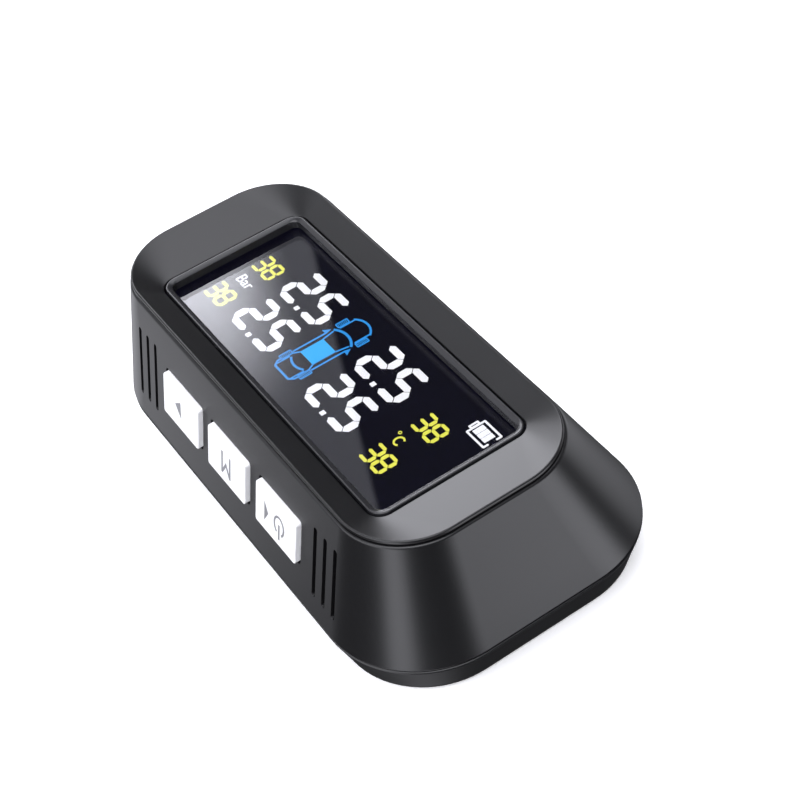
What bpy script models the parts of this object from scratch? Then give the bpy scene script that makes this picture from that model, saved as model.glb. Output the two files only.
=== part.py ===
"""Tyre pressure display, a dashboard unit that lies on its back with the screen up.

Frame: metres, +Z out of the screen, +X along the reading direction of the screen,
+Y towards the top of the screen. The three buttons are on the -Y flank.
The origin is at the bottom centre of the whole unit.
"""
import math

import bmesh
import bpy
from mathutils import Vector

MM = 0.001
FIT = 0.3 * MM                     # gap kept between pieces that touch
CORNER_STEPS = 8                   # segments in each rounded corner of a moulded section

# Driving dimensions ---------------------------------------------------------------------
HEIGHT = 28.8 * MM                 # rest plane to the rim of the front bezel
FACE_LENGTH = 82.0 * MM            # rim of the front bezel
FACE_WIDTH = 34.2 * MM
FACE_RADIUS = 11.0 * MM
FACE_OFFSET_Y = -2.7 * MM          # centre of the front face, towards the buttons
BODY_LENGTH = 90.8 * MM            # widest section, at the seam
BODY_WIDTH = 50.8 * MM
BODY_RADIUS = 15.9 * MM
SEAM_Z = 7.05 * MM
WALL = 2.0 * MM                    # moulded walls

# Front bezel and window -----------------------------------------------------------------
WINDOW_LENGTH = 64.0 * MM          # opening in the dished bezel
WINDOW_WIDTH = 25.9 * MM
WINDOW_RADIUS = 2.6 * MM
DISH_DEPTH = 2.0 * MM              # rim down to the edge of the window
RIM_HEIGHT = 0.55 * MM             # outer side of the bezel
RIM_LIP = 0.4 * MM                 # rounded crest of the rim
GROOVE_DEPTH = 1.2 * MM            # shadow groove, measured inwards
GROOVE_HEIGHT = 0.4 * MM
SHOULDER_HEIGHT = 0.9 * MM         # raised edge of the housing around the bezel
SHOULDER_EDGE = 0.3 * MM
DECK_THICKNESS = 1.8 * MM
DECK_MARGIN_X = 2.5 * MM           # deck opening beyond the window
DECK_MARGIN_Y = 1.75 * MM
TRIM_GAP = 0.3 * MM
TRIM_WIDTH = 1.0 * MM
TRIM_RISE = 0.2 * MM               # crest of the trim over the edge of the dish
TRIM_EDGE = 0.15 * MM              # outer chamfer of the trim
TRIM_SLOPE = 0.3 * MM              # crest of the trim down to its inner edge
LENS_DEPTH = 3.7 * MM              # rim down to the glass
LENS_THICKNESS = 0.8 * MM
LENS_BORDER = 2.6 * MM             # lens beyond the inside of the trim

# Flank details --------------------------------------------------------------------------
BUTTON_COUNT = 3
BUTTON_WIDTH = 11.4 * MM
BUTTON_HEIGHT = 7.1 * MM
BUTTON_RADIUS = 0.45 * MM
BUTTON_SPACE = 3.2 * MM            # flank left between two caps
BUTTON_Z = 17.5 * MM
BUTTON_PROUD = 0.75 * MM
BUTTON_EDGE = 0.2 * MM
BUTTON_GAP = 0.35 * MM
BUTTON_TRAVEL = 0.4 * MM
FLANGE_RIM = 0.9 * MM
FLANGE_THICKNESS = 1.0 * MM
NUB_SIZE = 2.4 * MM
SLOT_COUNT = 3                     # vent slots at each end of the button flank
SLOT_WIDTH = 0.9 * MM
SLOT_LENGTH = 12.3 * MM
SLOT_PITCH = 2.6 * MM
SLOT_MARGIN = 4.0 * MM             # last cap to the middle of the first slot
SLOT_Z = 17.0 * MM

# Back -----------------------------------------------------------------------------------
BACK_TAPER = 2.1 * MM              # seam outline in to the bottom outline
BACK_EDGE = 1.0 * MM
BACK_FLOOR = 2.6 * MM
SEAM_GAP = 0.3 * MM
SEAM_CHAMFER = 0.3 * MM
LIP_HEIGHT = 2.0 * MM
LIP_THICKNESS = 0.9 * MM
REBATE_DEPTH = 1.1 * MM
PAD_LENGTH = 8.0 * MM
PAD_WIDTH = 17.0 * MM
PAD_THICKNESS = 0.8 * MM
PAD_PROUD = 0.4 * MM
PAD_MARGIN = 2.7 * MM              # pad to the edge of the back
SOLAR_GAP = 3.6 * MM               # pad to the solar panel
SOLAR_WIDTH = 34.0 * MM
SOLAR_THICKNESS = 1.0 * MM
SOLAR_RECESS = 1.4 * MM

# Screws ---------------------------------------------------------------------------------
SCREW_INSET_X = 7.8 * MM           # from the widest section of the body
SCREW_INSET_Y = 10.6 * MM
SCREW_HEAD_RADIUS = 1.9 * MM
SCREW_HEAD_HEIGHT = 1.3 * MM
SCREW_SHANK_RADIUS = 0.9 * MM
SCREW_LENGTH = 10.0 * MM
SCREW_RECESS = 0.5 * MM
BOSS_RADIUS = 2.6 * MM
REAR_BOSS_TOP = 19.5 * MM          # bosses on the +Y side end inside the sloping wall

# Electronics ----------------------------------------------------------------------------
LCD_BORDER_X = 1.5 * MM            # screen cell beyond the window
LCD_BORDER_Y = 0.65 * MM
LCD_THICKNESS = 2.3 * MM
GUIDE_INSET_X = 2.0 * MM           # light guide inside the screen cell
GUIDE_INSET_Y = 2.3 * MM
GUIDE_THICKNESS = 1.2 * MM
LCD_FRAME_WALL = 0.9 * MM
BOARD_TOP = 15.0 * MM
BOARD_THICKNESS = 1.6 * MM
BOARD_LENGTH = 69.0 * MM
BOARD_WIDTH = 31.0 * MM
BOARD_CLEARANCE = 0.8 * MM         # end of the board's tongue to the inside of the wall
TONGUE_WIDTH = 13.0 * MM
SWITCH_WIDTH = 6.0 * MM
SWITCH_HEIGHT = 3.3 * MM
SWITCH_DEPTH = 3.5 * MM
PLUNGER_SIZE = 1.6 * MM
PLUNGER_LENGTH = 1.0 * MM
SOCKET_WIDTH = 8.9 * MM
SOCKET_HEIGHT = 3.2 * MM
SOCKET_DEPTH = 7.3 * MM
SOCKET_WALL = 0.35 * MM
BATTERY_LENGTH = 44.0 * MM
BATTERY_WIDTH = 26.0 * MM
BATTERY_THICKNESS = 5.6 * MM
BATTERY_X = 8.0 * MM
FOAM_THICKNESS = 1.0 * MM
BUZZER_RADIUS = 4.6 * MM
BUZZER_HEIGHT = 3.8 * MM
BUZZER_PLACE = (-24.0 * MM, -9.0 * MM)
COIL_RADIUS = 2.3 * MM
COIL_TURNS = 8
COIL_LENGTH = 22.0 * MM
COIL_WIRE = 0.35 * MM
LEAD_RADIUS = 0.6 * MM

# Places that follow from the sizes above ------------------------------------------------
BUTTON_PITCH = BUTTON_WIDTH + BUTTON_SPACE
SLOT_FIRST_X = (BUTTON_COUNT - 1) / 2 * BUTTON_PITCH + BUTTON_WIDTH / 2 + SLOT_MARGIN
PAD_X = BODY_LENGTH / 2 - BACK_TAPER - PAD_MARGIN - PAD_LENGTH / 2
SOLAR_LENGTH = 2 * (PAD_X - PAD_LENGTH / 2 - SOLAR_GAP)
SCREW_X = BODY_LENGTH / 2 - SCREW_INSET_X
SCREW_Y = BODY_WIDTH / 2 - SCREW_INSET_Y
LCD_LENGTH = WINDOW_LENGTH + 2 * LCD_BORDER_X
LCD_WIDTH = WINDOW_WIDTH + 2 * LCD_BORDER_Y
GUIDE_LENGTH = LCD_LENGTH - 2 * GUIDE_INSET_X
GUIDE_WIDTH = LCD_WIDTH - 2 * GUIDE_INSET_Y
WINDOW_EDGE_Z = HEIGHT - DISH_DEPTH
SHOULDER_TOP = HEIGHT - RIM_HEIGHT - GROOVE_HEIGHT
DECK_TOP = SHOULDER_TOP - SHOULDER_HEIGHT
DECK_BOTTOM = DECK_TOP - DECK_THICKNESS
LENS_TOP = HEIGHT - LENS_DEPTH
LENS_BOTTOM = LENS_TOP - LENS_THICKNESS
LCD_TOP = LENS_BOTTOM - FIT
LCD_BOTTOM = LCD_TOP - LCD_THICKNESS
GUIDE_TOP = LCD_BOTTOM - FIT
GUIDE_BOTTOM = GUIDE_TOP - GUIDE_THICKNESS
BOARD_BOTTOM = BOARD_TOP - BOARD_THICKNESS
BACK_Z = PAD_PROUD
FLOOR_TOP = BACK_Z + BACK_FLOOR
COVER_TOP = SEAM_Z - SEAM_GAP / 2
HOUSING_BOTTOM = SEAM_Z + SEAM_GAP / 2

COLOURS = {
    "satin_black": ((0.020, 0.020, 0.021), 0.38, 0.0),
    "trim_grey": ((0.16, 0.16, 0.17), 0.30, 0.4),
    "matt_black": ((0.012, 0.012, 0.013), 0.60, 0.0),
    "dark_glass": ((0.006, 0.006, 0.018), 0.05, 0.0),
    "lcd_glass": ((0.010, 0.012, 0.030), 0.08, 0.0),
    "white_plastic": ((0.85, 0.85, 0.84), 0.45, 0.0),
    "clear_acrylic": ((0.70, 0.74, 0.78), 0.15, 0.0),
    "board_green": ((0.010, 0.090, 0.035), 0.40, 0.0),
    "chip_black": ((0.015, 0.015, 0.016), 0.55, 0.0),
    "steel": ((0.55, 0.55, 0.56), 0.30, 1.0),
    "spring_copper": ((0.70, 0.35, 0.18), 0.30, 1.0),
    "battery_foil": ((0.60, 0.61, 0.63), 0.35, 0.7),
    "foam_grey": ((0.12, 0.12, 0.12), 0.90, 0.0),
    "lead_red": ((0.55, 0.02, 0.02), 0.50, 0.0),
    "lead_black": ((0.02, 0.02, 0.02), 0.50, 0.0),
    "cell_blue": ((0.010, 0.014, 0.045), 0.12, 0.1),
    "pad_rubber": ((0.035, 0.035, 0.035), 0.80, 0.0),
}


def empty_the_scene():
    for item in list(bpy.data.objects):
        bpy.data.objects.remove(item, do_unlink=True)


def new_collection(name):
    collection = bpy.data.collections.new(name)
    bpy.context.scene.collection.children.link(collection)
    return collection


def make_materials():
    materials = {}
    for name, (colour, roughness, metallic) in COLOURS.items():
        material = bpy.data.materials.new(name)
        material.use_nodes = True
        shader = material.node_tree.nodes["Principled BSDF"]
        shader.inputs["Base Color"].default_value = (*colour, 1.0)
        shader.inputs["Roughness"].default_value = roughness
        shader.inputs["Metallic"].default_value = metallic
        materials[name] = material
    return materials


empty_the_scene()
PARTS = new_collection("tyre_pressure_display")
CUTTERS = new_collection("cutters")
MATERIALS = make_materials()


def add_object(name, data, material=None):
    """Link a mesh or curve as a part, or as a hidden tool when it has no material."""
    item = bpy.data.objects.new(name, data)
    if material is None:
        CUTTERS.objects.link(item)
        item.hide_render = True
        item.display_type = "WIRE"
    else:
        data.materials.append(MATERIALS[material])
        PARTS.objects.link(item)
    return item


def smooth(mesh, angle=35.0):
    mesh.shade_smooth()
    mesh.set_sharp_from_angle(angle=math.radians(angle))


def rounded_outline(half_x, half_y, radius, centre_y=0.0, steps=CORNER_STEPS):
    """Points of a rounded rectangle, anticlockwise from the +X side."""
    points = []
    for quarter, (side_x, side_y) in enumerate(((1, 1), (-1, 1), (-1, -1), (1, -1))):
        for step in range(steps + 1):
            angle = math.radians(90 * quarter + 90 * step / steps)
            points.append((side_x * (half_x - radius) + radius * math.cos(angle),
                           centre_y + side_y * (half_y - radius) + radius * math.sin(angle)))
    return points


def level_ring(section, z):
    """A rounded rectangle (half_x, half_y, radius, centre_y) laid flat at height z."""
    return [(x, y, z) for x, y in rounded_outline(*section)]


def loft(name, rings, material, closed=False):
    """Skin a stack of rings with equal numbers of points; closed joins the last to the first."""
    shape = bmesh.new()
    loops = [[shape.verts.new(point) for point in ring] for ring in rings]
    count = len(loops[0])
    pairs = list(zip(loops, loops[1:]))
    if closed:
        pairs.append((loops[-1], loops[0]))
    for lower, upper in pairs:
        for i in range(count):
            j = (i + 1) % count
            shape.faces.new((lower[i], lower[j], upper[j], upper[i]))
    if not closed:
        shape.faces.new(loops[0])
        shape.faces.new(loops[-1])
    bmesh.ops.recalc_face_normals(shape, faces=shape.faces)
    mesh = bpy.data.meshes.new(name)
    shape.to_mesh(mesh)
    shape.free()
    smooth(mesh)
    return add_object(name, mesh, material)


def box(name, size, centre, material=None, edge=0.0):
    """A box of a given size, with rounded edges when edge is given."""
    shape = bmesh.new()
    bmesh.ops.create_cube(shape, size=1.0)
    bmesh.ops.scale(shape, vec=size, verts=shape.verts)
    mesh = bpy.data.meshes.new(name)
    shape.to_mesh(mesh)
    shape.free()
    item = add_object(name, mesh, material)
    item.location = centre
    if edge:
        bevel = item.modifiers.new("edge", "BEVEL")
        bevel.width = edge
        bevel.segments = 2
        bevel.limit_method = "ANGLE"
    return item


def cylinder(name, radius, bottom, top, place, material=None, segments=24, top_radius=None):
    """An upright cylinder or cone frustum between two heights."""
    shape = bmesh.new()
    bmesh.ops.create_cone(shape, cap_ends=True, segments=segments, radius1=radius,
                          radius2=radius if top_radius is None else top_radius,
                          depth=top - bottom)
    mesh = bpy.data.meshes.new(name)
    shape.to_mesh(mesh)
    shape.free()
    smooth(mesh)
    item = add_object(name, mesh, material)
    item.location = (place[0], place[1], (top + bottom) / 2)
    return item


def prism(name, outline, bottom, top, material=None):
    """A flat outline given thickness between two heights."""
    curve = bpy.data.curves.new(name, "CURVE")
    curve.dimensions = "2D"
    curve.fill_mode = "BOTH"
    curve.extrude = (top - bottom) / 2
    spline = curve.splines.new("POLY")
    spline.points.add(len(outline) - 1)
    for point, (x, y) in zip(spline.points, outline):
        point.co = (x, y, 0.0, 1.0)
    spline.use_cyclic_u = True
    item = add_object(name, curve, material)
    item.location = (0.0, 0.0, (top + bottom) / 2)
    return curve_to_mesh(item, material)


def curve_to_mesh(item, material):
    """Turn a curve into a closed mesh object that keeps its name and place."""
    bpy.context.view_layer.update()
    graph = bpy.context.evaluated_depsgraph_get()
    mesh = bpy.data.meshes.new_from_object(item.evaluated_get(graph))
    shape = bmesh.new()
    shape.from_mesh(mesh)
    bmesh.ops.remove_doubles(shape, verts=shape.verts, dist=0.000001)
    bmesh.ops.recalc_face_normals(shape, faces=shape.faces)
    shape.to_mesh(mesh)
    shape.free()
    place = item.matrix_world.copy()
    name = item.name
    bpy.data.objects.remove(item, do_unlink=True)
    mesh.materials.clear()
    result = add_object(name, mesh, material)
    result.matrix_world = place
    return result


def tube(name, points, radius, material):
    """A round wire through the given points, closed at both ends."""
    curve = bpy.data.curves.new(name, "CURVE")
    curve.dimensions = "3D"
    curve.bevel_depth = radius
    curve.bevel_resolution = 2
    curve.use_fill_caps = True
    spline = curve.splines.new("POLY")
    spline.points.add(len(points) - 1)
    for point, place in zip(spline.points, points):
        point.co = (*place, 1.0)
    return curve_to_mesh(add_object(name, curve, material), material)


def combine(target, tools, operation):
    for tool in tools:
        boolean = target.modifiers.new(tool.name, "BOOLEAN")
        boolean.operation = operation
        boolean.solver = "EXACT"
        boolean.object = tool


def smooth_route(corners, steps=5):
    """A Catmull-Rom curve through a wire's own points."""
    ends = [corners[0], *corners, corners[-1]]
    route = []
    for a, b, c, d in zip(ends, ends[1:], ends[2:], ends[3:]):
        a, b, c, d = (Vector(point) for point in (a, b, c, d))
        for step in range(steps):
            t = step / steps
            route.append((b * 2 + (c - a) * t + (a * 2 - b * 5 + c * 4 - d) * t * t
                          + (b * 3 - a - c * 3 + d) * t * t * t) / 2)
    route.append(Vector(corners[-1]))
    return route


# Moulded sections -----------------------------------------------------------------------
def inset(section, amount):
    half_x, half_y, radius, centre_y = section
    return (half_x - amount, half_y - amount, max(radius - amount, 0.2 * MM), centre_y)


FACE = (FACE_LENGTH / 2, FACE_WIDTH / 2, FACE_RADIUS, FACE_OFFSET_Y)
BODY = (BODY_LENGTH / 2, BODY_WIDTH / 2, BODY_RADIUS, 0.0)
WINDOW = (WINDOW_LENGTH / 2, WINDOW_WIDTH / 2, WINDOW_RADIUS, FACE_OFFSET_Y)
TRIM_OUTER = inset(WINDOW, TRIM_GAP)
TRIM_INNER = inset(TRIM_OUTER, TRIM_WIDTH)
DECK_OPENING = (WINDOW_LENGTH / 2 + DECK_MARGIN_X, WINDOW_WIDTH / 2 + DECK_MARGIN_Y,
                WINDOW_RADIUS, FACE_OFFSET_Y)


def flank_section(z, amount=0.0):
    """Outline of the flaring flank at height z, moved in by an amount."""
    share = (HEIGHT - z) / (HEIGHT - SEAM_Z)
    section = tuple(face + (body - face) * share for face, body in zip(FACE, BODY))
    return inset(section, amount)


def button_flank_y(z):
    """Outer surface of the -Y flank at height z."""
    _, half_y, _, centre_y = flank_section(z)
    return centre_y - half_y


def button_places():
    middle = (BUTTON_COUNT - 1) / 2
    return [(index - middle) * BUTTON_PITCH for index in range(BUTTON_COUNT)]


def screw_places():
    return [(x, y) for y in (-SCREW_Y, SCREW_Y) for x in (-SCREW_X, SCREW_X)]


# Case -----------------------------------------------------------------------------------
def make_front_bezel():
    """Dished frame around the window, on a spigot that leaves a shadow groove below its rim."""
    spigot = inset(FACE, GROOVE_DEPTH)
    skirt = inset(DECK_OPENING, FIT)
    rings = [
        level_ring(WINDOW, WINDOW_EDGE_Z),
        level_ring(inset(FACE, RIM_LIP), HEIGHT - 0.12 * RIM_LIP),
        level_ring(inset(FACE, RIM_LIP / 2), HEIGHT),
        level_ring(inset(FACE, RIM_LIP / 8), HEIGHT - 0.4 * RIM_LIP),
        level_ring(FACE, HEIGHT - RIM_LIP),
        level_ring(FACE, HEIGHT - RIM_HEIGHT),
        level_ring(spigot, HEIGHT - RIM_HEIGHT),
        level_ring(spigot, DECK_TOP + FIT),
        level_ring(skirt, DECK_TOP + FIT),
        level_ring(skirt, LENS_TOP + FIT),
        level_ring(WINDOW, LENS_TOP + FIT),
    ]
    return loft("front_bezel", rings, "satin_black", closed=True)


def make_window_trim():
    """Ring in the window: a chamfer, a crest, a slope inwards and an upright inner wall."""
    crest = WINDOW_EDGE_Z + TRIM_RISE
    rings = [
        level_ring(TRIM_OUTER, LENS_TOP + FIT),
        level_ring(TRIM_OUTER, crest - TRIM_EDGE),
        level_ring(inset(TRIM_OUTER, TRIM_EDGE), crest),
        level_ring(inset(TRIM_OUTER, TRIM_WIDTH / 3), crest),
        level_ring(TRIM_INNER, crest - TRIM_SLOPE),
        level_ring(TRIM_INNER, LENS_TOP + FIT),
    ]
    return loft("window_trim", rings, "trim_grey", closed=True)


def make_housing():
    """Flaring shell with a deck under the bezel, button windows, vent slots and screw bosses."""
    edge = SHOULDER_EDGE
    bezel_seat = inset(FACE, GROOVE_DEPTH - FIT)
    rebate_top = HOUSING_BOTTOM + LIP_HEIGHT
    rings = [
        level_ring(DECK_OPENING, DECK_TOP),
        level_ring(bezel_seat, DECK_TOP),
        level_ring(bezel_seat, SHOULDER_TOP),
        level_ring(flank_section(SHOULDER_TOP, edge), SHOULDER_TOP),
        level_ring(flank_section(SHOULDER_TOP, 0.3 * edge), SHOULDER_TOP - 0.3 * edge),
        level_ring(flank_section(SHOULDER_TOP - edge), SHOULDER_TOP - edge),
        level_ring(flank_section(HOUSING_BOTTOM + SEAM_CHAMFER), HOUSING_BOTTOM + SEAM_CHAMFER),
        level_ring(flank_section(HOUSING_BOTTOM, SEAM_CHAMFER), HOUSING_BOTTOM),
        level_ring(flank_section(HOUSING_BOTTOM, REBATE_DEPTH), HOUSING_BOTTOM),
        level_ring(flank_section(HOUSING_BOTTOM, REBATE_DEPTH), rebate_top),
        level_ring(flank_section(rebate_top, WALL), rebate_top),
        level_ring(flank_section(DECK_BOTTOM, WALL), DECK_BOTTOM),
        level_ring(DECK_OPENING, DECK_BOTTOM),
    ]
    housing = loft("housing", rings, "satin_black", closed=True)
    bosses = []
    holes = []
    core = loft("flank_core", [level_ring(flank_section(z, WALL / 2), z)
                               for z in (HOUSING_BOTTOM, DECK_BOTTOM + DECK_THICKNESS / 2)], None)
    for number, (x, y) in enumerate(screw_places(), 1):
        bottom = HOUSING_BOTTOM + FIT
        top = REAR_BOSS_TOP if y > 0 else DECK_BOTTOM + DECK_THICKNESS / 2
        boss = cylinder(f"boss_{number}", BOSS_RADIUS, bottom, top, (x, y))
        combine(boss, [core], "INTERSECT")
        bosses.append(boss)
        holes.append(cylinder(f"boss_hole_{number}", SCREW_SHANK_RADIUS + FIT, bottom - 1 * MM,
                              SCREW_LENGTH + BACK_Z + SCREW_RECESS + 1 * MM, (x, y), segments=16))
    combine(housing, bosses, "UNION")
    combine(housing, holes, "DIFFERENCE")
    combine(housing, button_window_tools() + slot_tools() + [socket_window_tool()], "DIFFERENCE")
    return housing


def button_window_tools():
    tools = []
    for number, x in enumerate(button_places(), 1):
        size = (BUTTON_WIDTH + 2 * BUTTON_GAP, 4 * WALL, BUTTON_HEIGHT + 2 * BUTTON_GAP)
        tools.append(box(f"button_window_{number}", size, (x, button_flank_y(BUTTON_Z), BUTTON_Z)))
    return tools


def slot_tools():
    """Upright round-ended cutters that run straight through the button flank."""
    tools = []
    for side in (-1, 1):
        for index in range(SLOT_COUNT):
            x = side * (SLOT_FIRST_X + index * SLOT_PITCH)
            outline = rounded_outline(SLOT_WIDTH / 2, SLOT_LENGTH / 2, SLOT_WIDTH / 2, steps=4)
            tool = prism(f"slot_{'left' if side < 0 else 'right'}_{index + 1}", outline,
                         -2 * WALL, 2 * WALL)
            tool.rotation_euler = (math.radians(90), 0.0, 0.0)
            tool.location = (x, button_flank_y(SLOT_Z), SLOT_Z)
            tools.append(tool)
    return tools


def socket_centre():
    z = BOARD_BOTTOM - FIT - SOCKET_HEIGHT / 2
    face_x = -(flank_section(z)[0] - WALL / 2)
    return Vector((face_x + SOCKET_DEPTH / 2, FACE_OFFSET_Y, z))


def socket_outline(grow):
    half_y = SOCKET_WIDTH / 2 + grow
    half_z = SOCKET_HEIGHT / 2 + grow
    return rounded_outline(half_y, half_z, min(1.2 * MM + grow, half_z), steps=4)


def across_x(item, centre):
    """Stand a flat outline upright, so that its thickness runs along X."""
    item.rotation_euler = (math.radians(90), 0.0, math.radians(90))
    item.location = centre
    return item


def socket_window_tool():
    tool = prism("socket_window", socket_outline(FIT), -2 * WALL, 2 * WALL)
    centre = socket_centre()
    centre.x -= SOCKET_DEPTH / 2
    return across_x(tool, centre)


def make_back_cover():
    """Tapering tray with a lip inside the housing, recesses underneath and screw pillars."""
    def side(z, amount=0.0):
        share = (COVER_TOP - z) / (COVER_TOP - BACK_Z)
        return inset(BODY, BACK_TAPER * share + amount)

    lip_outer = REBATE_DEPTH + FIT
    lip_inner = lip_outer + LIP_THICKNESS
    lip_top = HOUSING_BOTTOM + LIP_HEIGHT - FIT
    rings = [
        level_ring(side(BACK_Z, BACK_EDGE), BACK_Z),
        level_ring(side(BACK_Z, 0.3 * BACK_EDGE), BACK_Z + 0.3 * BACK_EDGE),
        level_ring(side(BACK_Z + BACK_EDGE), BACK_Z + BACK_EDGE),
        level_ring(side(COVER_TOP - SEAM_CHAMFER), COVER_TOP - SEAM_CHAMFER),
        level_ring(inset(BODY, SEAM_CHAMFER), COVER_TOP),
        level_ring(inset(BODY, lip_outer), COVER_TOP),
        level_ring(inset(BODY, lip_outer), lip_top),
        level_ring(inset(BODY, lip_inner), lip_top),
        level_ring(inset(BODY, lip_inner), COVER_TOP),
        level_ring(side(FLOOR_TOP, WALL), FLOOR_TOP),
    ]
    cover = loft("back_cover", rings, "satin_black")
    pillars = []
    cuts = []
    for number, (x, y) in enumerate(screw_places(), 1):
        pillars.append(cylinder(f"pillar_{number}", BOSS_RADIUS, FLOOR_TOP - 1 * MM,
                                HOUSING_BOTTOM, (x, y)))
        cuts.append(cylinder(f"pillar_hole_{number}", SCREW_SHANK_RADIUS + FIT, BACK_Z - 1 * MM,
                             HOUSING_BOTTOM + 1 * MM, (x, y), segments=16))
        cuts.append(cylinder(f"counterbore_{number}", SCREW_HEAD_RADIUS + FIT, BACK_Z - 1 * MM,
                             BACK_Z + SCREW_RECESS + SCREW_HEAD_HEIGHT + FIT, (x, y)))
    combine(cover, pillars, "UNION")
    combine(cover, cuts, "DIFFERENCE")
    recess_size = (SOLAR_LENGTH + 2 * FIT, SOLAR_WIDTH + 2 * FIT, 2 * SOLAR_RECESS)
    recesses = [box("solar_recess", recess_size, (0.0, 0.0, BACK_Z))]
    for side_name, x in (("left", -PAD_X), ("right", PAD_X)):
        pad_size = (PAD_LENGTH + 2 * FIT, PAD_WIDTH + 2 * FIT,
                    2 * (PAD_THICKNESS - PAD_PROUD + FIT))
        recesses.append(box(f"pad_recess_{side_name}", pad_size, (x, 0.0, BACK_Z)))
    lead_size = (2.4 * MM, 4.6 * MM, 2 * BACK_FLOOR + 2 * MM)
    recesses.append(box("lead_slot", lead_size, (lead_slot_x(), 0.0, BACK_Z)))
    combine(cover, recesses, "DIFFERENCE")
    return cover


def make_screws():
    """Pan-head screws driven up through the back cover."""
    for number, (x, y) in enumerate(screw_places(), 1):
        head_bottom = BACK_Z + SCREW_RECESS
        neck = head_bottom + SCREW_HEAD_HEIGHT
        profile = [(0.0, head_bottom + SCREW_LENGTH),
                   (SCREW_SHANK_RADIUS * 0.5, head_bottom + SCREW_LENGTH),
                   (SCREW_SHANK_RADIUS, head_bottom + SCREW_LENGTH - 1 * MM),
                   (SCREW_SHANK_RADIUS, neck),
                   (SCREW_HEAD_RADIUS, neck),
                   (SCREW_HEAD_RADIUS, head_bottom + 0.5 * SCREW_HEAD_HEIGHT),
                   (SCREW_HEAD_RADIUS * 0.75, head_bottom),
                   (0.0, head_bottom)]
        mesh = bpy.data.meshes.new(f"screw_{number}")
        mesh.from_pydata([(radius, 0.0, z) for radius, z in profile],
                         [(i, i + 1) for i in range(len(profile) - 1)], [])
        item = add_object(f"screw_{number}", mesh, "steel")
        item.location = (x, y, 0.0)
        turn = item.modifiers.new("turn", "SCREW")
        turn.steps = 16
        turn.render_steps = 16
        turn.use_merge_vertices = True
        turn.merge_threshold = 0.00001


def make_grip_pads():
    for side_name, x in (("left", -PAD_X), ("right", PAD_X)):
        box(f"grip_pad_{side_name}", (PAD_LENGTH, PAD_WIDTH, PAD_THICKNESS),
            (x, 0.0, PAD_THICKNESS / 2), "pad_rubber")


def make_solar_panel():
    top = BACK_Z + SOLAR_RECESS - FIT
    box("solar_panel", (SOLAR_LENGTH, SOLAR_WIDTH, SOLAR_THICKNESS),
        (0.0, 0.0, top - SOLAR_THICKNESS / 2), "cell_blue")


# Buttons --------------------------------------------------------------------------------
def button_ring(half_x, half_z, radius, depth):
    """A rounded rectangle on a plane parallel to the flank, depth inside its surface."""
    return [(x, button_flank_y(BUTTON_Z + z) + depth, BUTTON_Z + z)
            for x, z in rounded_outline(half_x, half_z, radius, steps=3)]


def make_buttons():
    """Caps with a sloping face, a flange behind the wall and a nub that meets the switch."""
    half_x = BUTTON_WIDTH / 2
    half_z = BUTTON_HEIGHT / 2
    flange_front = WALL + FIT
    flange_back = flange_front + FLANGE_THICKNESS
    flange = (half_x + FLANGE_RIM, half_z + FLANGE_RIM, BUTTON_RADIUS + FLANGE_RIM)
    nub = (NUB_SIZE / 2, NUB_SIZE / 2, BUTTON_RADIUS)
    nub_end = plunger_front_y() - FIT
    for name, x in zip(("button_left", "button_middle", "button_right"), button_places()):
        rings = [
            button_ring(half_x - BUTTON_EDGE, half_z - BUTTON_EDGE, BUTTON_RADIUS, -BUTTON_PROUD),
            button_ring(half_x, half_z, BUTTON_RADIUS, BUTTON_EDGE - BUTTON_PROUD),
            button_ring(half_x, half_z, BUTTON_RADIUS, flange_front),
            button_ring(*flange, flange_front),
            button_ring(*flange, flange_back),
            button_ring(*nub, flange_back),
            [(px, nub_end, pz) for px, _, pz in button_ring(*nub, 0.0)],
        ]
        cap = loft(name, rings, "white_plastic")
        cap.location.x = x


def switch_body_y():
    """Front of the switch bodies, behind the button flanges."""
    return button_flank_y(BUTTON_Z) + WALL + 2 * FIT + FLANGE_THICKNESS + 1.6 * MM


def plunger_front_y():
    return switch_body_y() - FIT - PLUNGER_LENGTH


def make_switches():
    """Side-push switches on the board edge, each with its own plunger."""
    bottom = BOARD_TOP + FIT
    z = bottom + SWITCH_HEIGHT / 2
    for name, x in zip(("left", "middle", "right"), button_places()):
        box(f"switch_{name}", (SWITCH_WIDTH, SWITCH_DEPTH, SWITCH_HEIGHT),
            (x, switch_body_y() + SWITCH_DEPTH / 2 + BUTTON_TRAVEL, z), "chip_black")
        box(f"switch_plunger_{name}", (PLUNGER_SIZE, PLUNGER_LENGTH, PLUNGER_SIZE),
            (x, plunger_front_y() + PLUNGER_LENGTH / 2, BUTTON_Z), "white_plastic")


# Screen stack ---------------------------------------------------------------------------
def slab(name, section, bottom, top, material):
    return loft(name, [level_ring(section, bottom), level_ring(section, top)], material)


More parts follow.
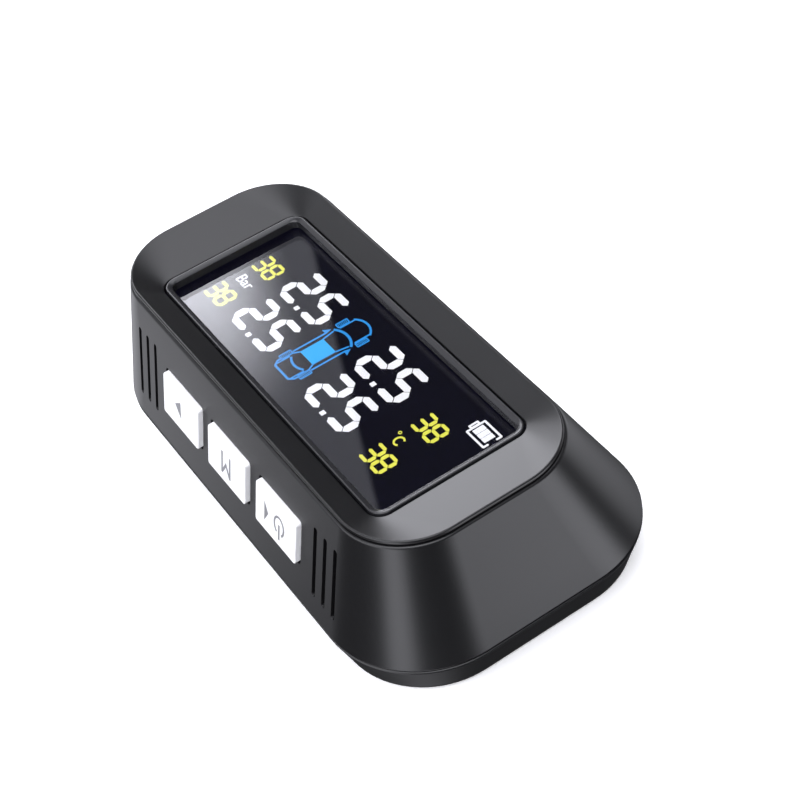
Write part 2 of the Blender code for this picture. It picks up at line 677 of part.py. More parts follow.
def make_screen():
    half_x, half_y, radius, centre_y = TRIM_INNER
    lens = (half_x + LENS_BORDER, half_y + LENS_BORDER, radius, centre_y)
    slab("display_lens", lens, LENS_BOTTOM, LENS_TOP, "dark_glass")
    corner = 0.5 * MM
    cell = (LCD_LENGTH / 2, LCD_WIDTH / 2, corner, FACE_OFFSET_Y)
    slab("lcd_cell", cell, LCD_BOTTOM, LCD_TOP, "lcd_glass")
    guide = (GUIDE_LENGTH / 2, GUIDE_WIDTH / 2, corner, FACE_OFFSET_Y)
    slab("light_guide", guide, GUIDE_BOTTOM, GUIDE_TOP, "clear_acrylic")
    pocket = (LCD_LENGTH / 2 + FIT, LCD_WIDTH / 2 + FIT, corner, FACE_OFFSET_Y)
    outside = inset(pocket, -LCD_FRAME_WALL)
    rings = [level_ring(outside, GUIDE_BOTTOM), level_ring(outside, LCD_TOP),
             level_ring(pocket, LCD_TOP), level_ring(pocket, GUIDE_BOTTOM)]
    loft("lcd_frame", rings, "white_plastic", closed=True)


def make_zebra_strip():
    """Conductive rubber bar that joins the screen to the board."""
    bottom = BOARD_TOP + FIT
    top = LCD_BOTTOM - FIT
    depth = 1.4 * MM
    y = FACE_OFFSET_Y + LCD_WIDTH / 2 - depth / 2 - 0.2 * MM
    box("contact_strip", (52 * MM, depth, top - bottom), (0.0, y, (top + bottom) / 2), "foam_grey")


# Electronics ----------------------------------------------------------------------------
def make_board():
    half_x = BOARD_LENGTH / 2
    half_y = BOARD_WIDTH / 2
    tongue = TONGUE_WIDTH / 2
    reach = BOARD_CLEARANCE - flank_section(BOARD_TOP, WALL)[0]
    outline = [(half_x, half_y), (-half_x, half_y), (-half_x, tongue), (reach, tongue),
               (reach, -tongue), (-half_x, -tongue), (-half_x, -half_y), (half_x, -half_y)]
    outline = [(x, y + FACE_OFFSET_Y) for x, y in outline]
    prism("main_board", outline, BOARD_BOTTOM, BOARD_TOP, "board_green")


def on_board(name, size, place, material, edge=0.0):
    z = BOARD_TOP + FIT + size[2] / 2
    box(name, size, (place[0], place[1], z), material, edge)


def under_board(name, size, place, material, edge=0.0):
    z = BOARD_BOTTOM - FIT - size[2] / 2
    box(name, size, (place[0], place[1], z), material, edge)


def make_components():
    on_board("controller_chip", (10 * MM, 10 * MM, 1.2 * MM), (4 * MM, 2 * MM), "chip_black")
    on_board("receiver_chip", (5 * MM, 5 * MM, 1.0 * MM), (20 * MM, 3 * MM), "chip_black")
    on_board("crystal_can", (5 * MM, 3.2 * MM, 1.3 * MM), (20 * MM, -5 * MM), "steel", 0.3 * MM)
    under_board("battery_plug", (4 * MM, 6 * MM, 2.6 * MM), battery_plug_place(), "white_plastic")
    top = BOARD_BOTTOM - FIT
    cylinder("buzzer", BUZZER_RADIUS, top - BUZZER_HEIGHT, top, BUZZER_PLACE, "chip_black")


def battery_plug_place():
    return (BATTERY_X - BATTERY_LENGTH / 2 - 8 * MM, 6.5 * MM)


def battery_levels():
    bottom = FLOOR_TOP + 2 * FIT + FOAM_THICKNESS
    return bottom, bottom + BATTERY_THICKNESS


def make_battery():
    bottom, top = battery_levels()
    box("battery", (BATTERY_LENGTH, BATTERY_WIDTH, BATTERY_THICKNESS),
        (BATTERY_X, 0.0, (bottom + top) / 2), "battery_foil", 0.8 * MM)
    box("battery_foam", (BATTERY_LENGTH - 8 * MM, BATTERY_WIDTH - 6 * MM, FOAM_THICKNESS),
        (BATTERY_X, 0.0, FLOOR_TOP + FIT + FOAM_THICKNESS / 2), "foam_grey")
    plug_x, plug_y = battery_plug_place()
    plug_z = BOARD_BOTTOM - FIT - 1.3 * MM
    start_x = BATTERY_X - BATTERY_LENGTH / 2 - FIT
    for name, side in (("red", 1), ("black", -1)):
        start = Vector((start_x, 4 * MM + side * 1.1 * MM, (bottom + top) / 2))
        end = Vector((plug_x + 2 * MM + FIT, plug_y + side * 1.1 * MM, plug_z))
        middle = (start + end) / 2 + Vector((0.0, side * 0.6 * MM, -0.4 * MM))
        away = Vector((1.4 * MM, 0.0, 0.0))
        tube(f"battery_lead_{name}", smooth_route([start, start - away, middle, end + away, end]),
             LEAD_RADIUS, f"lead_{name}")


def make_charging_socket():
    """Steel shell of the charging socket with its tongue left to the shell's open mouth."""
    centre = socket_centre()
    half = SOCKET_DEPTH / 2
    shell = prism("charging_socket", socket_outline(0.0), -half, half, "steel")
    across_x(shell, centre)
    mouth = prism("socket_mouth", socket_outline(-SOCKET_WALL), -half, half)
    mouth_centre = centre.copy()
    mouth_centre.x -= 1.2 * MM
    across_x(mouth, mouth_centre)
    combine(shell, [mouth], "DIFFERENCE")
    tongue_size = (SOCKET_DEPTH - 3.2 * MM, SOCKET_WIDTH - 3 * MM, 0.8 * MM)
    tongue_x = centre.x + half - 1.2 * MM - FIT - tongue_size[0] / 2
    box("socket_tongue", tongue_size, (tongue_x, centre.y, centre.z), "matt_black")


def make_antenna():
    """Copper spring antenna along the +Y side with a leg that rises to the board."""
    steps = 10
    centre_y = FACE_OFFSET_Y + BOARD_WIDTH / 2 + COIL_RADIUS + 2.2 * MM
    centre_z = BOARD_BOTTOM - COIL_RADIUS - 1.0 * MM
    points = []
    for index in range(COIL_TURNS * steps + 1):
        angle = 2 * math.pi * index / steps
        points.append(Vector((COIL_LENGTH * (index / (COIL_TURNS * steps) - 0.5),
                              centre_y - COIL_RADIUS * math.cos(angle),
                              centre_z + COIL_RADIUS * math.sin(angle))))
    leg = Vector((points[0].x - 1.0 * MM, FACE_OFFSET_Y + BOARD_WIDTH / 2 - 1.5 * MM,
                  BOARD_BOTTOM - FIT - COIL_WIRE))
    tube("antenna_spring", [leg, (leg + points[0]) / 2 + Vector((-0.3 * MM, 0.0, 0.2 * MM))]
         + points, COIL_WIRE, "spring_copper")


def lead_slot_x():
    return -(SOLAR_LENGTH / 2 - 5 * MM)


def make_solar_lead():
    """Flat two-core lead from the solar panel up through the floor to the board."""
    bottom = BACK_Z + SOLAR_RECESS
    top = BOARD_BOTTOM - FIT
    box("solar_lead", (0.9 * MM, 3.0 * MM, top - bottom), (lead_slot_x(), 0.0, (top + bottom) / 2),
        "lead_black")


def main():
    make_front_bezel()
    make_window_trim()
    make_housing()
    make_back_cover()
    make_screws()
    make_grip_pads()
    make_solar_panel()
    make_buttons()
    make_switches()
    make_screen()
    make_zebra_strip()
    make_board()
    make_components()
    make_battery()
    make_charging_socket()
    make_antenna()
    make_solar_lead()


main()
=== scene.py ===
"""Tyre pressure display: the finished unit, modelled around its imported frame.

+Z comes out of the screen, +X is the reading direction and +Y is the top of the screen.
The three buttons are on the -Y flank. All sizes are in metres.
"""
import math
from itertools import product

import bpy
from mathutils import Matrix, Vector


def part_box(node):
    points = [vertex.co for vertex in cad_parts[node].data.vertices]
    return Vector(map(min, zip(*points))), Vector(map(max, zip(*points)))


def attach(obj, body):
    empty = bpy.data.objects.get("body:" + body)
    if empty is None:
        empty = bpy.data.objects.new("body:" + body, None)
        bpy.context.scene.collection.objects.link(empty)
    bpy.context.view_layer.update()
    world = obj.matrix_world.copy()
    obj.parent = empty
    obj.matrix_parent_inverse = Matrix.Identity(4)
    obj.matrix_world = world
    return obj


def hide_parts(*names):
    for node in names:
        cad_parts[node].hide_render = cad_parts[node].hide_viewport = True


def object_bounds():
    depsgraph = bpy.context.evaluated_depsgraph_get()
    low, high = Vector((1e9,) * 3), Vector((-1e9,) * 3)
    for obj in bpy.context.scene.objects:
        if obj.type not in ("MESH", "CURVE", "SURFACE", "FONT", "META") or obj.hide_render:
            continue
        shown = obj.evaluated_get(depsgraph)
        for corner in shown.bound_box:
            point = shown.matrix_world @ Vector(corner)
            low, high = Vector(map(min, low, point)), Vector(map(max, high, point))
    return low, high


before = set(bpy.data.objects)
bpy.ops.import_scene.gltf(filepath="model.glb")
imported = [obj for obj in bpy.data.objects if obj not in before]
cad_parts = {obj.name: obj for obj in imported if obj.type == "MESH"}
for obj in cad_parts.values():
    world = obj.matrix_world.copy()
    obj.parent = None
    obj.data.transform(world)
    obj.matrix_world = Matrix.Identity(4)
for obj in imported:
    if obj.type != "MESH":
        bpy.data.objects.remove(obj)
CAD_LOW, CAD_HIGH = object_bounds()

bl_info = {
    "name": "Tyre Pressure Display",
    "version": (1, 0, 0),
    "blender": (4, 5, 0),
    "location": "View3D > Sidebar > Display",
    "description": "Builds the dashboard tyre pressure display and its studio",
    "category": "Object",
}

MM = 0.001
CORNER = 20                        # segments in each rounded corner of a moulded outline
STACK = 20.0 * MM                  # distance between outlines while they are bridged
FIT = 0.3 * MM                     # clearance between two moulded parts
BREAK = 0.06 * MM                  # smallest broken edge
FLANK_STEPS = 4                    # outlines from the shoulder to the widest section
REBATE = (1.1 * MM, 2.0 * MM)      # step inside the housing's seam: depth, height
LIP = (1.4 * MM, 2.3 * MM, 2.0 * MM)     # lip of the back cover: outer and inner inset, height
FLOOR = 2.6 * MM                   # floor of the back cover
FLANK_CUT = 16.0 * MM              # length of the cutters
SOCKET_CUT = 8.0 * MM
PANEL_RECESS = 1.4 * MM
PAD_RECESS = 0.7 * MM
COUNTERBORE = (2.2 * MM, 2.1 * MM)       # around a screw head: radius, depth
SCREWS = range(1, 5)
SOLAR_STRIP = (9.5 * MM, 33.0 * MM)      # width and length of one solar cell
SMOOTH_ANGLE = math.radians(35.0)

BEZEL_LOW, BEZEL_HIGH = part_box("front_bezel")
SHELL_LOW, SHELL_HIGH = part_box("housing")
COVER_LOW, COVER_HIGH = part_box("back_cover")
LENS_LOW, LENS_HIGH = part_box("display_lens")
CELL_LOW, CELL_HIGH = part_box("lcd_cell")
TRIM_LOW, TRIM_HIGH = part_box("window_trim")
PANEL_LOW, PANEL_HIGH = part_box("solar_panel")
SOCKET_LOW, SOCKET_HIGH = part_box("charging_socket")
FACE_Y = (BEZEL_LOW.y + BEZEL_HIGH.y) / 2


def length(name, description, size, low=0.0, high=0.1):
    return bpy.props.FloatProperty(name=name, description=description, default=size, min=low,
                                   max=high, precision=5, subtype="DISTANCE", unit="LENGTH")


def colour(name, description, value):
    return bpy.props.FloatVectorProperty(name=name, description=description, default=value,
                                         size=3, min=0.0, max=1.0, subtype="COLOR")


def number(name, description, value, low=0.0, high=100.0):
    return bpy.props.FloatProperty(name=name, description=description, default=value, min=low,
                                   max=high)


class CaseSettings(bpy.types.PropertyGroup):
    """Sizes and colours of the moulded case"""
    face_radius: length("Face radius", "Corner radius of the front rim", 11.0 * MM)
    seam_radius: length("Seam radius", "Corner radius at the widest section", 15.8 * MM)
    window_length: length("Window length", "Opening of the dished bezel", 64.0 * MM)
    window_width: length("Window width", "Opening of the dished bezel", 25.9 * MM)
    window_radius: length("Window radius", "Corner radius of the opening", 2.6 * MM)
    dish_depth: length("Dish depth", "Rim down to the edge of the window", 2.0 * MM)
    rim_height: length("Rim height", "Outer side of the bezel", 0.55 * MM)
    rim_lip: length("Rim lip", "Rounded crest of the rim", 0.4 * MM)
    groove_depth: length("Groove depth", "Shadow groove below the rim", 1.2 * MM)
    shoulder_height: length("Shoulder height", "Housing edge around the bezel", 0.9 * MM)
    shoulder_edge: length("Shoulder edge", "Rounding of the housing edge", 0.35 * MM)
    deck_margin_x: length("Deck margin X", "Deck opening beyond the window", 2.5 * MM)
    deck_margin_y: length("Deck margin Y", "Deck opening beyond the window", 1.75 * MM)
    deck_thickness: length("Deck thickness", "Deck under the bezel", 1.8 * MM)
    trim_width: length("Trim width", "Width of the ring in the window", 1.0 * MM)
    trim_gap: length("Trim gap", "Groove between the bezel and the ring", 0.3 * MM)
    wall: length("Wall", "Moulded wall", 2.0 * MM)
    seam_chamfer: length("Seam chamfer", "Broken edge along the seam", 0.3 * MM)
    back_taper: length("Back taper", "Widest outline in to the bottom outline", 1.78 * MM)
    back_edge: length("Back edge", "Rounded bottom edge", 1.0 * MM)
    black: colour("Case black", "Satin plastic of the case", (0.0060, 0.0060, 0.0066))
    trim: colour("Trim colour", "Ring in the window", (0.020, 0.020, 0.022))


class ButtonSettings(bpy.types.PropertyGroup):
    """Sizes and colours of the buttons and the vent slots beside them"""
    pitch: length("Pitch", "Middle to middle of two caps", 14.6 * MM)
    width: length("Width", "Length of a cap along the flank", 11.4 * MM)
    height: length("Height", "Height of a cap", 7.1 * MM)
    radius: length("Radius", "Corner radius of a cap", 0.45 * MM)
    proud: length("Proud", "Cap above the flank", 0.75 * MM)
    edge: length("Edge", "Rounding of the edges of a cap", 0.15 * MM)
    gap: length("Gap", "Clearance around a cap", 0.35 * MM)
    reach: length("Reach", "Cap behind the flank", 2.6 * MM)
    flange_depth: length("Flange depth", "Flank in to the middle of the flange", 2.8 * MM)
    flange: length("Flange", "Thickness of the flange", 1.0 * MM)
    stem: length("Stem", "Side of the stem", 2.4 * MM)
    level: length("Level", "Height of the middle of the caps", 17.5 * MM)
    slot_first: length("First slot", "Middle of the unit to the first slot", 24.3 * MM)
    slot_pitch: length("Slot pitch", "Middle to middle of two slots", 2.6 * MM)
    slot_width: length("Slot width", "Width of a slot", 0.9 * MM)
    slot_length: length("Slot length", "Length of a slot", 12.3 * MM)
    slot_level: length("Slot level", "Height of the middle of the slots", 17.0 * MM)
    white: colour("Cap white", "Moulded caps", (0.92, 0.92, 0.92))
    mark: colour("Mark grey", "Printed marks on the caps", (0.22, 0.22, 0.23))


class FittingSettings(bpy.types.PropertyGroup):
    """Sizes of the screws, the grip pads and the charging socket"""
    screw_head: length("Screw head", "Height of a screw head", 1.3 * MM)
    screw_dome: length("Screw dome", "Rounding of a screw head", 0.45 * MM)
    screw_shank: length("Screw shank", "Radius of a shank", 0.9 * MM)
    cross_length: length("Cross length", "Length of the recess in a head", 2.2 * MM)
    cross_width: length("Cross width", "Width of the recess in a head", 0.5 * MM)
    cross_depth: length("Cross depth", "Depth of the recess in a head", 0.7 * MM)
    pad_edge: length("Pad edge", "Rounding of a grip pad", 0.2 * MM)
    rib_pitch: length("Rib pitch", "Middle to middle of two grooves in a pad", 2.2 * MM)
    rib_length: length("Rib length", "Length of a groove in a pad", 5.6 * MM)
    rib_width: length("Rib width", "Width of a groove in a pad", 0.7 * MM)
    rib_depth: length("Rib depth", "Depth of a groove in a pad", 0.2 * MM)
    panel_edge: length("Panel edge", "Rounding of the solar panel", 0.25 * MM)
    socket_wall: length("Socket wall", "Drawn steel around the socket", 0.35 * MM)
    socket_back: length("Socket back", "Closed end of the socket", 1.2 * MM)


class ScreenSettings(bpy.types.PropertyGroup):
    """Layout and colours of the lit screen"""
    layer: length("Layer", "Thickness of the lit layer", 0.06 * MM)
    shift_x: length("Shift X", "Middle of the layout from the middle of the window", 0.60 * MM,
                    -0.01, 0.01)
    shift_y: length("Shift Y", "Middle of the layout from the middle of the window", -0.27 * MM,
                    -0.01, 0.01)
    digit_width: length("Digit width", "Width of a pressure digit", 5.2 * MM)
    digit_height: length("Digit height", "Height of a pressure digit", 7.25 * MM)
    digit_stroke: length("Digit stroke", "Width of an upright segment", 1.36 * MM)
    digit_gap: length("Digit gap", "Dark line between two segments", 0.24 * MM)
    digit_pitch: length("Digit pitch", "From one pressure digit to the next", 6.35 * MM)
    small_width: length("Small width", "Width of a temperature digit", 2.6 * MM)
    small_height: length("Small height", "Height of a temperature digit", 3.8 * MM)
    small_stroke: length("Small stroke", "Width of a small segment", 0.62 * MM)
    small_gap: length("Small gap", "Dark line between two small segments", 0.15 * MM)
    small_pitch: length("Small pitch", "From one temperature digit to the next", 2.85 * MM)
    white: colour("White", "Pressure digits", (1.0, 1.0, 1.0))
    yellow: colour("Yellow", "Temperature digits", (0.87, 0.85, 0.10))
    blue: colour("Blue", "Outline of the car", (0.030, 0.31, 0.78))
    roof: colour("Roof blue", "Roof of the car", (0.012, 0.45, 0.95))
    glow: number("Glow", "Strength of the lit segments", 1.05, 0.0, 10.0)


class StudioSettings(bpy.types.PropertyGroup):
    """Camera, floor and light"""
    camera_place: bpy.props.FloatVectorProperty(
        name="Camera place", description="Where the camera stands", size=3,
        default=(175.744 * MM, -72.945 * MM, 198.510 * MM), subtype="TRANSLATION", unit="LENGTH")
    camera_aim: bpy.props.FloatVectorProperty(
        name="Camera aim", description="What the camera looks at", size=3,
        default=(2.618 * MM, 4.869 * MM, 13.598 * MM), subtype="TRANSLATION", unit="LENGTH")
    camera_roll: bpy.props.FloatProperty(
        name="Camera roll", description="Turn of the camera about its own axis",
        default=math.radians(-12.56), subtype="ANGLE", unit="ROTATION")
    camera_lens: number("Lens", "Focal length in millimetres", 78.59, 10.0, 300.0)
    floor: colour("Floor", "Pale floor", (0.90, 0.90, 0.90))
    floor_lift: number("Floor lift", "Glow that softens the shadow on the floor", 0.35, 0.0, 2.0)
    floor_size: length("Floor size", "Side of the floor", 6.0, 0.5, 20.0)


# Modelling helpers ----------------------------------------------------------------------
def only(*items):
    """Make these the selected objects and the last of them active."""
    bpy.ops.object.select_all(action="DESELECT")
    for item in items:
        item.select_set(True)
        bpy.context.view_layer.objects.active = item


def start_edit(item, mode="VERT"):
    only(item)
    bpy.ops.object.mode_set(mode="EDIT")
    bpy.ops.mesh.select_mode(type=mode)
    bpy.ops.mesh.select_all(action="SELECT")


def end_edit():
    bpy.ops.object.mode_set(mode="OBJECT")


def settle(item):
    """Put an object's place, turn and scale into its mesh."""
    only(item)
    bpy.ops.object.transform_apply(location=True, rotation=True, scale=True)


def inset(section, amount):
    """A section (half length, half width, corner radius, centre in Y) moved in all round."""
    half_x, half_y, radius, centre_y = section
    return half_x - amount, half_y - amount, max(radius - amount, 0.1 * MM), centre_y


def plate(section, z=0.0, steps=CORNER, centre_x=0.0):
    """A flat rounded rectangle, from a plane with its corners bevelled."""
    half_x, half_y, radius, centre_y = section
    bpy.ops.mesh.primitive_plane_add(size=2.0, location=(centre_x, centre_y, z))
    item = bpy.context.object
    item.scale = (half_x, half_y, 1.0)
    settle(item)
    start_edit(item)
    if radius > 0.0:
        bpy.ops.mesh.bevel(offset=radius, segments=steps, profile=0.5, affect="VERTICES")
    end_edit()
    return item


def join(items):
    only(*items)
    if len(items) > 1:
        bpy.ops.object.join()
    return bpy.context.object


def skin(rings, closed=False, steps=CORNER):
    """Bridge a stack of rounded rectangles (section, height) into one shell.

    The outlines are bridged well apart, and each is then moved to its own height.
    """
    plates = []
    for index, (section, _) in enumerate(rings):
        item = plate(section, index * STACK, steps)
        start_edit(item)
        bpy.ops.mesh.delete(type="ONLY_FACE")
        end_edit()
        group = item.vertex_groups.new(name=f"ring_{index:02d}")
        group.add(range(len(item.data.vertices)), 1.0, "REPLACE")
        plates.append(item)
    shell = join(plates)
    count = len(rings)
    pairs = [(i, i + 1) for i in range(count - 1)]
    if closed:
        pairs.append((count - 1, 0))
    start_edit(shell)
    for first, second in pairs:
        pick_rings(shell, first, second)
        bpy.ops.mesh.bridge_edge_loops()
    if not closed:
        for end in (0, count - 1):
            pick_rings(shell, end)
            bpy.ops.mesh.edge_face_add()
    for index, (_, z) in enumerate(rings):
        pick_rings(shell, index)
        bpy.ops.transform.translate(value=(0.0, 0.0, z - index * STACK))
    outward()
    end_edit()
    shell.vertex_groups.clear()
    return shell


def pick_rings(shell, *numbers):
    bpy.ops.mesh.select_all(action="DESELECT")
    for index in numbers:
        shell.vertex_groups.active_index = shell.vertex_groups[f"ring_{index:02d}"].index
        bpy.ops.object.vertex_group_select()


def outward():
    bpy.ops.mesh.select_all(action="SELECT")
    bpy.ops.mesh.normals_make_consistent(inside=False)


def thicken(item, depth):
    """Give a flat outline thickness along +Z."""
    start_edit(item, "FACE")
    bpy.ops.mesh.extrude_region_move(TRANSFORM_OT_translate={"value": (0.0, 0.0, depth)})
    outward()
    end_edit()
    return item


def modify(item, kind, **values):
    """Add one modifier and apply it."""
    only(item)
    bpy.ops.object.modifier_add(type=kind)
    modifier = item.modifiers[-1]
    for name, value in values.items():
        setattr(modifier, name, value)
    bpy.ops.object.modifier_apply(modifier=modifier.name)
    return item


def round_edges(item, width, segments=3, angle=40.0):
    return modify(item, "BEVEL", width=width, segments=segments, limit_method="ANGLE",
                  angle_limit=math.radians(angle), use_clamp_overlap=True,
                  miter_outer="MITER_ARC")


def cut(item, *tools, operation="DIFFERENCE"):
    for tool in tools:
        modify(item, "BOOLEAN", object=tool, operation=operation, solver="EXACT")
        bpy.data.objects.remove(tool, do_unlink=True)
    return item


def copy_at(item, place):
    """A copy with its own mesh, moved by place."""
    twin = item.copy()
    twin.data = item.data.copy()
    bpy.context.scene.collection.objects.link(twin)
    twin.location = place
    settle(twin)
    return twin


def rounded_box(size, centre, edge=0.0, segments=2):
    bpy.ops.mesh.primitive_cube_add(size=1.0, location=centre)
    item = bpy.context.object
    item.scale = size
    settle(item)
    if edge:
        round_edges(item, edge, segments)
    return item


def post(radius, low, high, place, sides=32):
    bpy.ops.mesh.primitive_cylinder_add(vertices=sides, radius=radius, depth=high - low,
                                        location=(place[0], place[1], (low + high) / 2))
    return bpy.context.object


def finish(item, name, body, material, replaces=None):
    """Name, shade and colour a finished piece, and let it ride on its body.

    A piece that replaces a solid of the frame keeps its large faces flat.
    """
    item.name = name
    item.data.name = name
    settle(item)
    bpy.ops.object.shade_smooth_by_angle(angle=SMOOTH_ANGLE)
    if replaces:
        modify(item, "WEIGHTED_NORMAL", mode="FACE_AREA", weight=50, keep_sharp=True)
    item.data.materials.clear()
    item.data.materials.append(MATERIALS[material])
    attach(item, body)
    if replaces:
        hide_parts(replaces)


# Materials ------------------------------------------------------------------------------
MATERIALS = {}


class Nodes:
    """Short names for building a material's nodes."""

    def __init__(self, name):
        self.material = bpy.data.materials.new(f"finish_{name}")
        MATERIALS[name] = self.material
        self.material.use_nodes = True
        self.tree = self.material.node_tree
        self.shader = self.tree.nodes["Principled BSDF"]
        self.place = self.add("ShaderNodeTexCoord").outputs["Object"]

    def add(self, kind, vector=None, **values):
        """A new node with its inputs set; an underscore in a name stands for a space."""
        node = self.tree.nodes.new(kind)
        self.set(node, **values)
        if vector is not None:
            self.link(vector, node.inputs["Vector"])
        return node

    def set(self, node, **values):
        for name, value in values.items():
            node.inputs[name.replace("_", " ")].default_value = value

    def link(self, output, target):
        self.tree.links.new(output, target)

    def noise(self, scale, detail=3.0, roughness=0.55):
        return self.add("ShaderNodeTexNoise", self.place, Scale=scale, Detail=detail,
                        Roughness=roughness).outputs["Fac"]

    def ramp(self, factor, low, high, start=0.3, stop=0.7):
        node = self.add("ShaderNodeValToRGB")
        node.color_ramp.elements[0].position = start
        node.color_ramp.elements[0].color = (*low, 1.0)
        node.color_ramp.elements[1].position = stop
        node.color_ramp.elements[1].color = (*high, 1.0)
        self.link(factor, node.inputs["Fac"])
        return node.outputs["Color"]

    def spread(self, factor, low, high):
        node = self.add("ShaderNodeMapRange", To_Min=low, To_Max=high)
        self.link(factor, node.inputs["Value"])
        return node.outputs["Result"]

    def bump(self, height, strength, distance):
        node = self.add("ShaderNodeBump", Strength=strength, Distance=distance)
        self.link(height, node.inputs["Height"])
        self.link(node.outputs["Normal"], self.shader.inputs["Normal"])


def shade(tone, amount):
    return tuple(min(1.0, channel * amount) for channel in tone)


def moulded(name, tone, roughness, variation=0.12, grain=9000.0, depth=0.012, metallic=0.0,
            specular=0.5):
    """Injection moulded plastic, rubber or painted metal with a fine even grain."""
    nodes = Nodes(name)
    soft = nodes.noise(90.0)
    nodes.link(nodes.ramp(soft, shade(tone, 1.0 - variation), shade(tone, 1.0 + variation)),
               nodes.shader.inputs["Base Color"])
    fine = nodes.noise(grain, 2.0)
    nodes.link(nodes.spread(fine, roughness - 0.03, roughness + 0.03),
               nodes.shader.inputs["Roughness"])
    nodes.bump(fine, 0.25, depth * MM)
    nodes.set(nodes.shader, Metallic=metallic, Specular_IOR_Level=specular)
    return nodes.material


def glowing(name, tone, strength):
    """A lit segment of the screen, with the slight unevenness of a backlight."""
    nodes = Nodes(name)
    soft = nodes.noise(140.0, 1.0)
    glow = nodes.ramp(soft, shade(tone, 0.93), tone)
    nodes.link(glow, nodes.shader.inputs["Emission Color"])
    nodes.link(nodes.ramp(soft, shade(tone, 0.10), shade(tone, 0.13)),
               nodes.shader.inputs["Base Color"])
    nodes.set(nodes.shader, Emission_Strength=strength, Roughness=0.5, Specular_IOR_Level=0.1)
    return nodes.material


def dark_screen(name):
    """The unlit liquid crystal cell, navy where the backlight leaks through."""
    nodes = Nodes(name)
    soft = nodes.noise(60.0, 1.0)
    nodes.link(nodes.ramp(soft, (0.0012, 0.0012, 0.0030), (0.0014, 0.0014, 0.0034)),
               nodes.shader.inputs["Base Color"])
    nodes.link(nodes.ramp(soft, (0.0024, 0.0022, 0.0062), (0.0030, 0.0028, 0.0074)),
               nodes.shader.inputs["Emission Color"])
    nodes.set(nodes.shader, Emission_Strength=1.0, Roughness=0.6, Specular_IOR_Level=0.0)
    return nodes.material


def clear_cover(name):
    """Hard clear cover glass."""
    nodes = Nodes(name)
    soft = nodes.noise(60.0, 1.0)
    nodes.link(nodes.ramp(soft, (0.93, 0.94, 1.0), (0.96, 0.97, 1.0)),
               nodes.shader.inputs["Base Color"])
    nodes.set(nodes.shader, Roughness=0.0, IOR=1.5, Transmission_Weight=1.0)
    return nodes.material


def cell_grid(name):
    """Dark solar cells with thin silver lines between them."""
    nodes = Nodes(name)
    wide, high = SOLAR_STRIP
    shift = nodes.add("ShaderNodeMapping", nodes.place, Location=(3 * wide, high / 2, 0.0))
    bands = nodes.add("ShaderNodeTexBrick", shift.outputs["Vector"], Scale=1.0,
                      Color1=(0.007, 0.010, 0.032, 1.0), Color2=(0.010, 0.013, 0.042, 1.0),
                      Mortar=(0.42, 0.43, 0.45, 1.0), Mortar_Size=0.15 * MM, Mortar_Smooth=0.1,
                      Brick_Width=wide, Row_Height=high)
    bands.offset = 0.0
    nodes.link(bands.outputs["Color"], nodes.shader.inputs["Base Color"])
    fine = nodes.noise(600.0, 2.0)
    nodes.link(nodes.spread(fine, 0.08, 0.16), nodes.shader.inputs["Roughness"])
    nodes.set(nodes.shader, Coat_Weight=0.6)
    return nodes.material


def brushed(name, tone, roughness):
    """Plated or drawn metal with faint lines along X."""
    nodes = Nodes(name)
    stretch = nodes.add("ShaderNodeMapping", nodes.place, Scale=(1.0, 12.0, 12.0))
    lines = nodes.add("ShaderNodeTexNoise", stretch.outputs["Vector"], Scale=400.0)
    lines = lines.outputs["Fac"]
    nodes.link(nodes.ramp(lines, shade(tone, 0.88), shade(tone, 1.08)),
               nodes.shader.inputs["Base Color"])
    nodes.link(nodes.spread(lines, roughness - 0.05, roughness + 0.06),
               nodes.shader.inputs["Roughness"])
    nodes.set(nodes.shader, Metallic=1.0)
    nodes.bump(lines, 0.2, 0.01 * MM)
    return nodes.material


def board_finish(name):
    """Green solder mask with copper tracks showing faintly through it."""
    nodes = Nodes(name)
    tracks = nodes.add("ShaderNodeTexWave", nodes.place, Scale=260.0, Distortion=6.0, Detail=1.0)
    tracks = tracks.outputs["Fac"]
    nodes.link(nodes.ramp(tracks, (0.006, 0.065, 0.026), (0.012, 0.105, 0.045)),
               nodes.shader.inputs["Base Color"])
    nodes.set(nodes.shader, Roughness=0.35)
    nodes.bump(tracks, 0.3, 0.02 * MM)
    return nodes.material


# Case -----------------------------------------------------------------------------------
def settings():
    """The five groups of settings, in the order of GROUPS."""
    return [getattr(bpy.context.scene, name) for name, _ in GROUPS]


def face_section(case):
    return (BEZEL_HIGH.x, (BEZEL_HIGH.y - BEZEL_LOW.y) / 2, case.face_radius, FACE_Y)


def window_section(case):
    return (case.window_length / 2, case.window_width / 2, case.window_radius, FACE_Y)


def deck_section(case):
    return (case.window_length / 2 + case.deck_margin_x, case.window_width / 2 + case.deck_margin_y,
            case.window_radius, FACE_Y)


def widest_z(case):
    return SHELL_LOW.z + case.seam_chamfer


def flank_section(case, z, amount=0.0):
    """Outline of the flaring flank at height z, moved in by an amount."""
    face = face_section(case)
    wide = (SHELL_HIGH.x, (SHELL_HIGH.y - SHELL_LOW.y) / 2, case.seam_radius,
            (SHELL_HIGH.y + SHELL_LOW.y) / 2)
    share = (BEZEL_HIGH.z - z) / (BEZEL_HIGH.z - widest_z(case))
    return inset(tuple(a + (b - a) * share for a, b in zip(face, wide)), amount)


def button_flank_y(case, z):
    _, half_y, _, centre_y = flank_section(case, z)
    return centre_y - half_y


def flank_lean(case):
    """Angle of the button flank from the upright."""
    drop = button_flank_y(case, SHELL_HIGH.z) - button_flank_y(case, widest_z(case))
    return math.atan2(drop, SHELL_HIGH.z - widest_z(case))


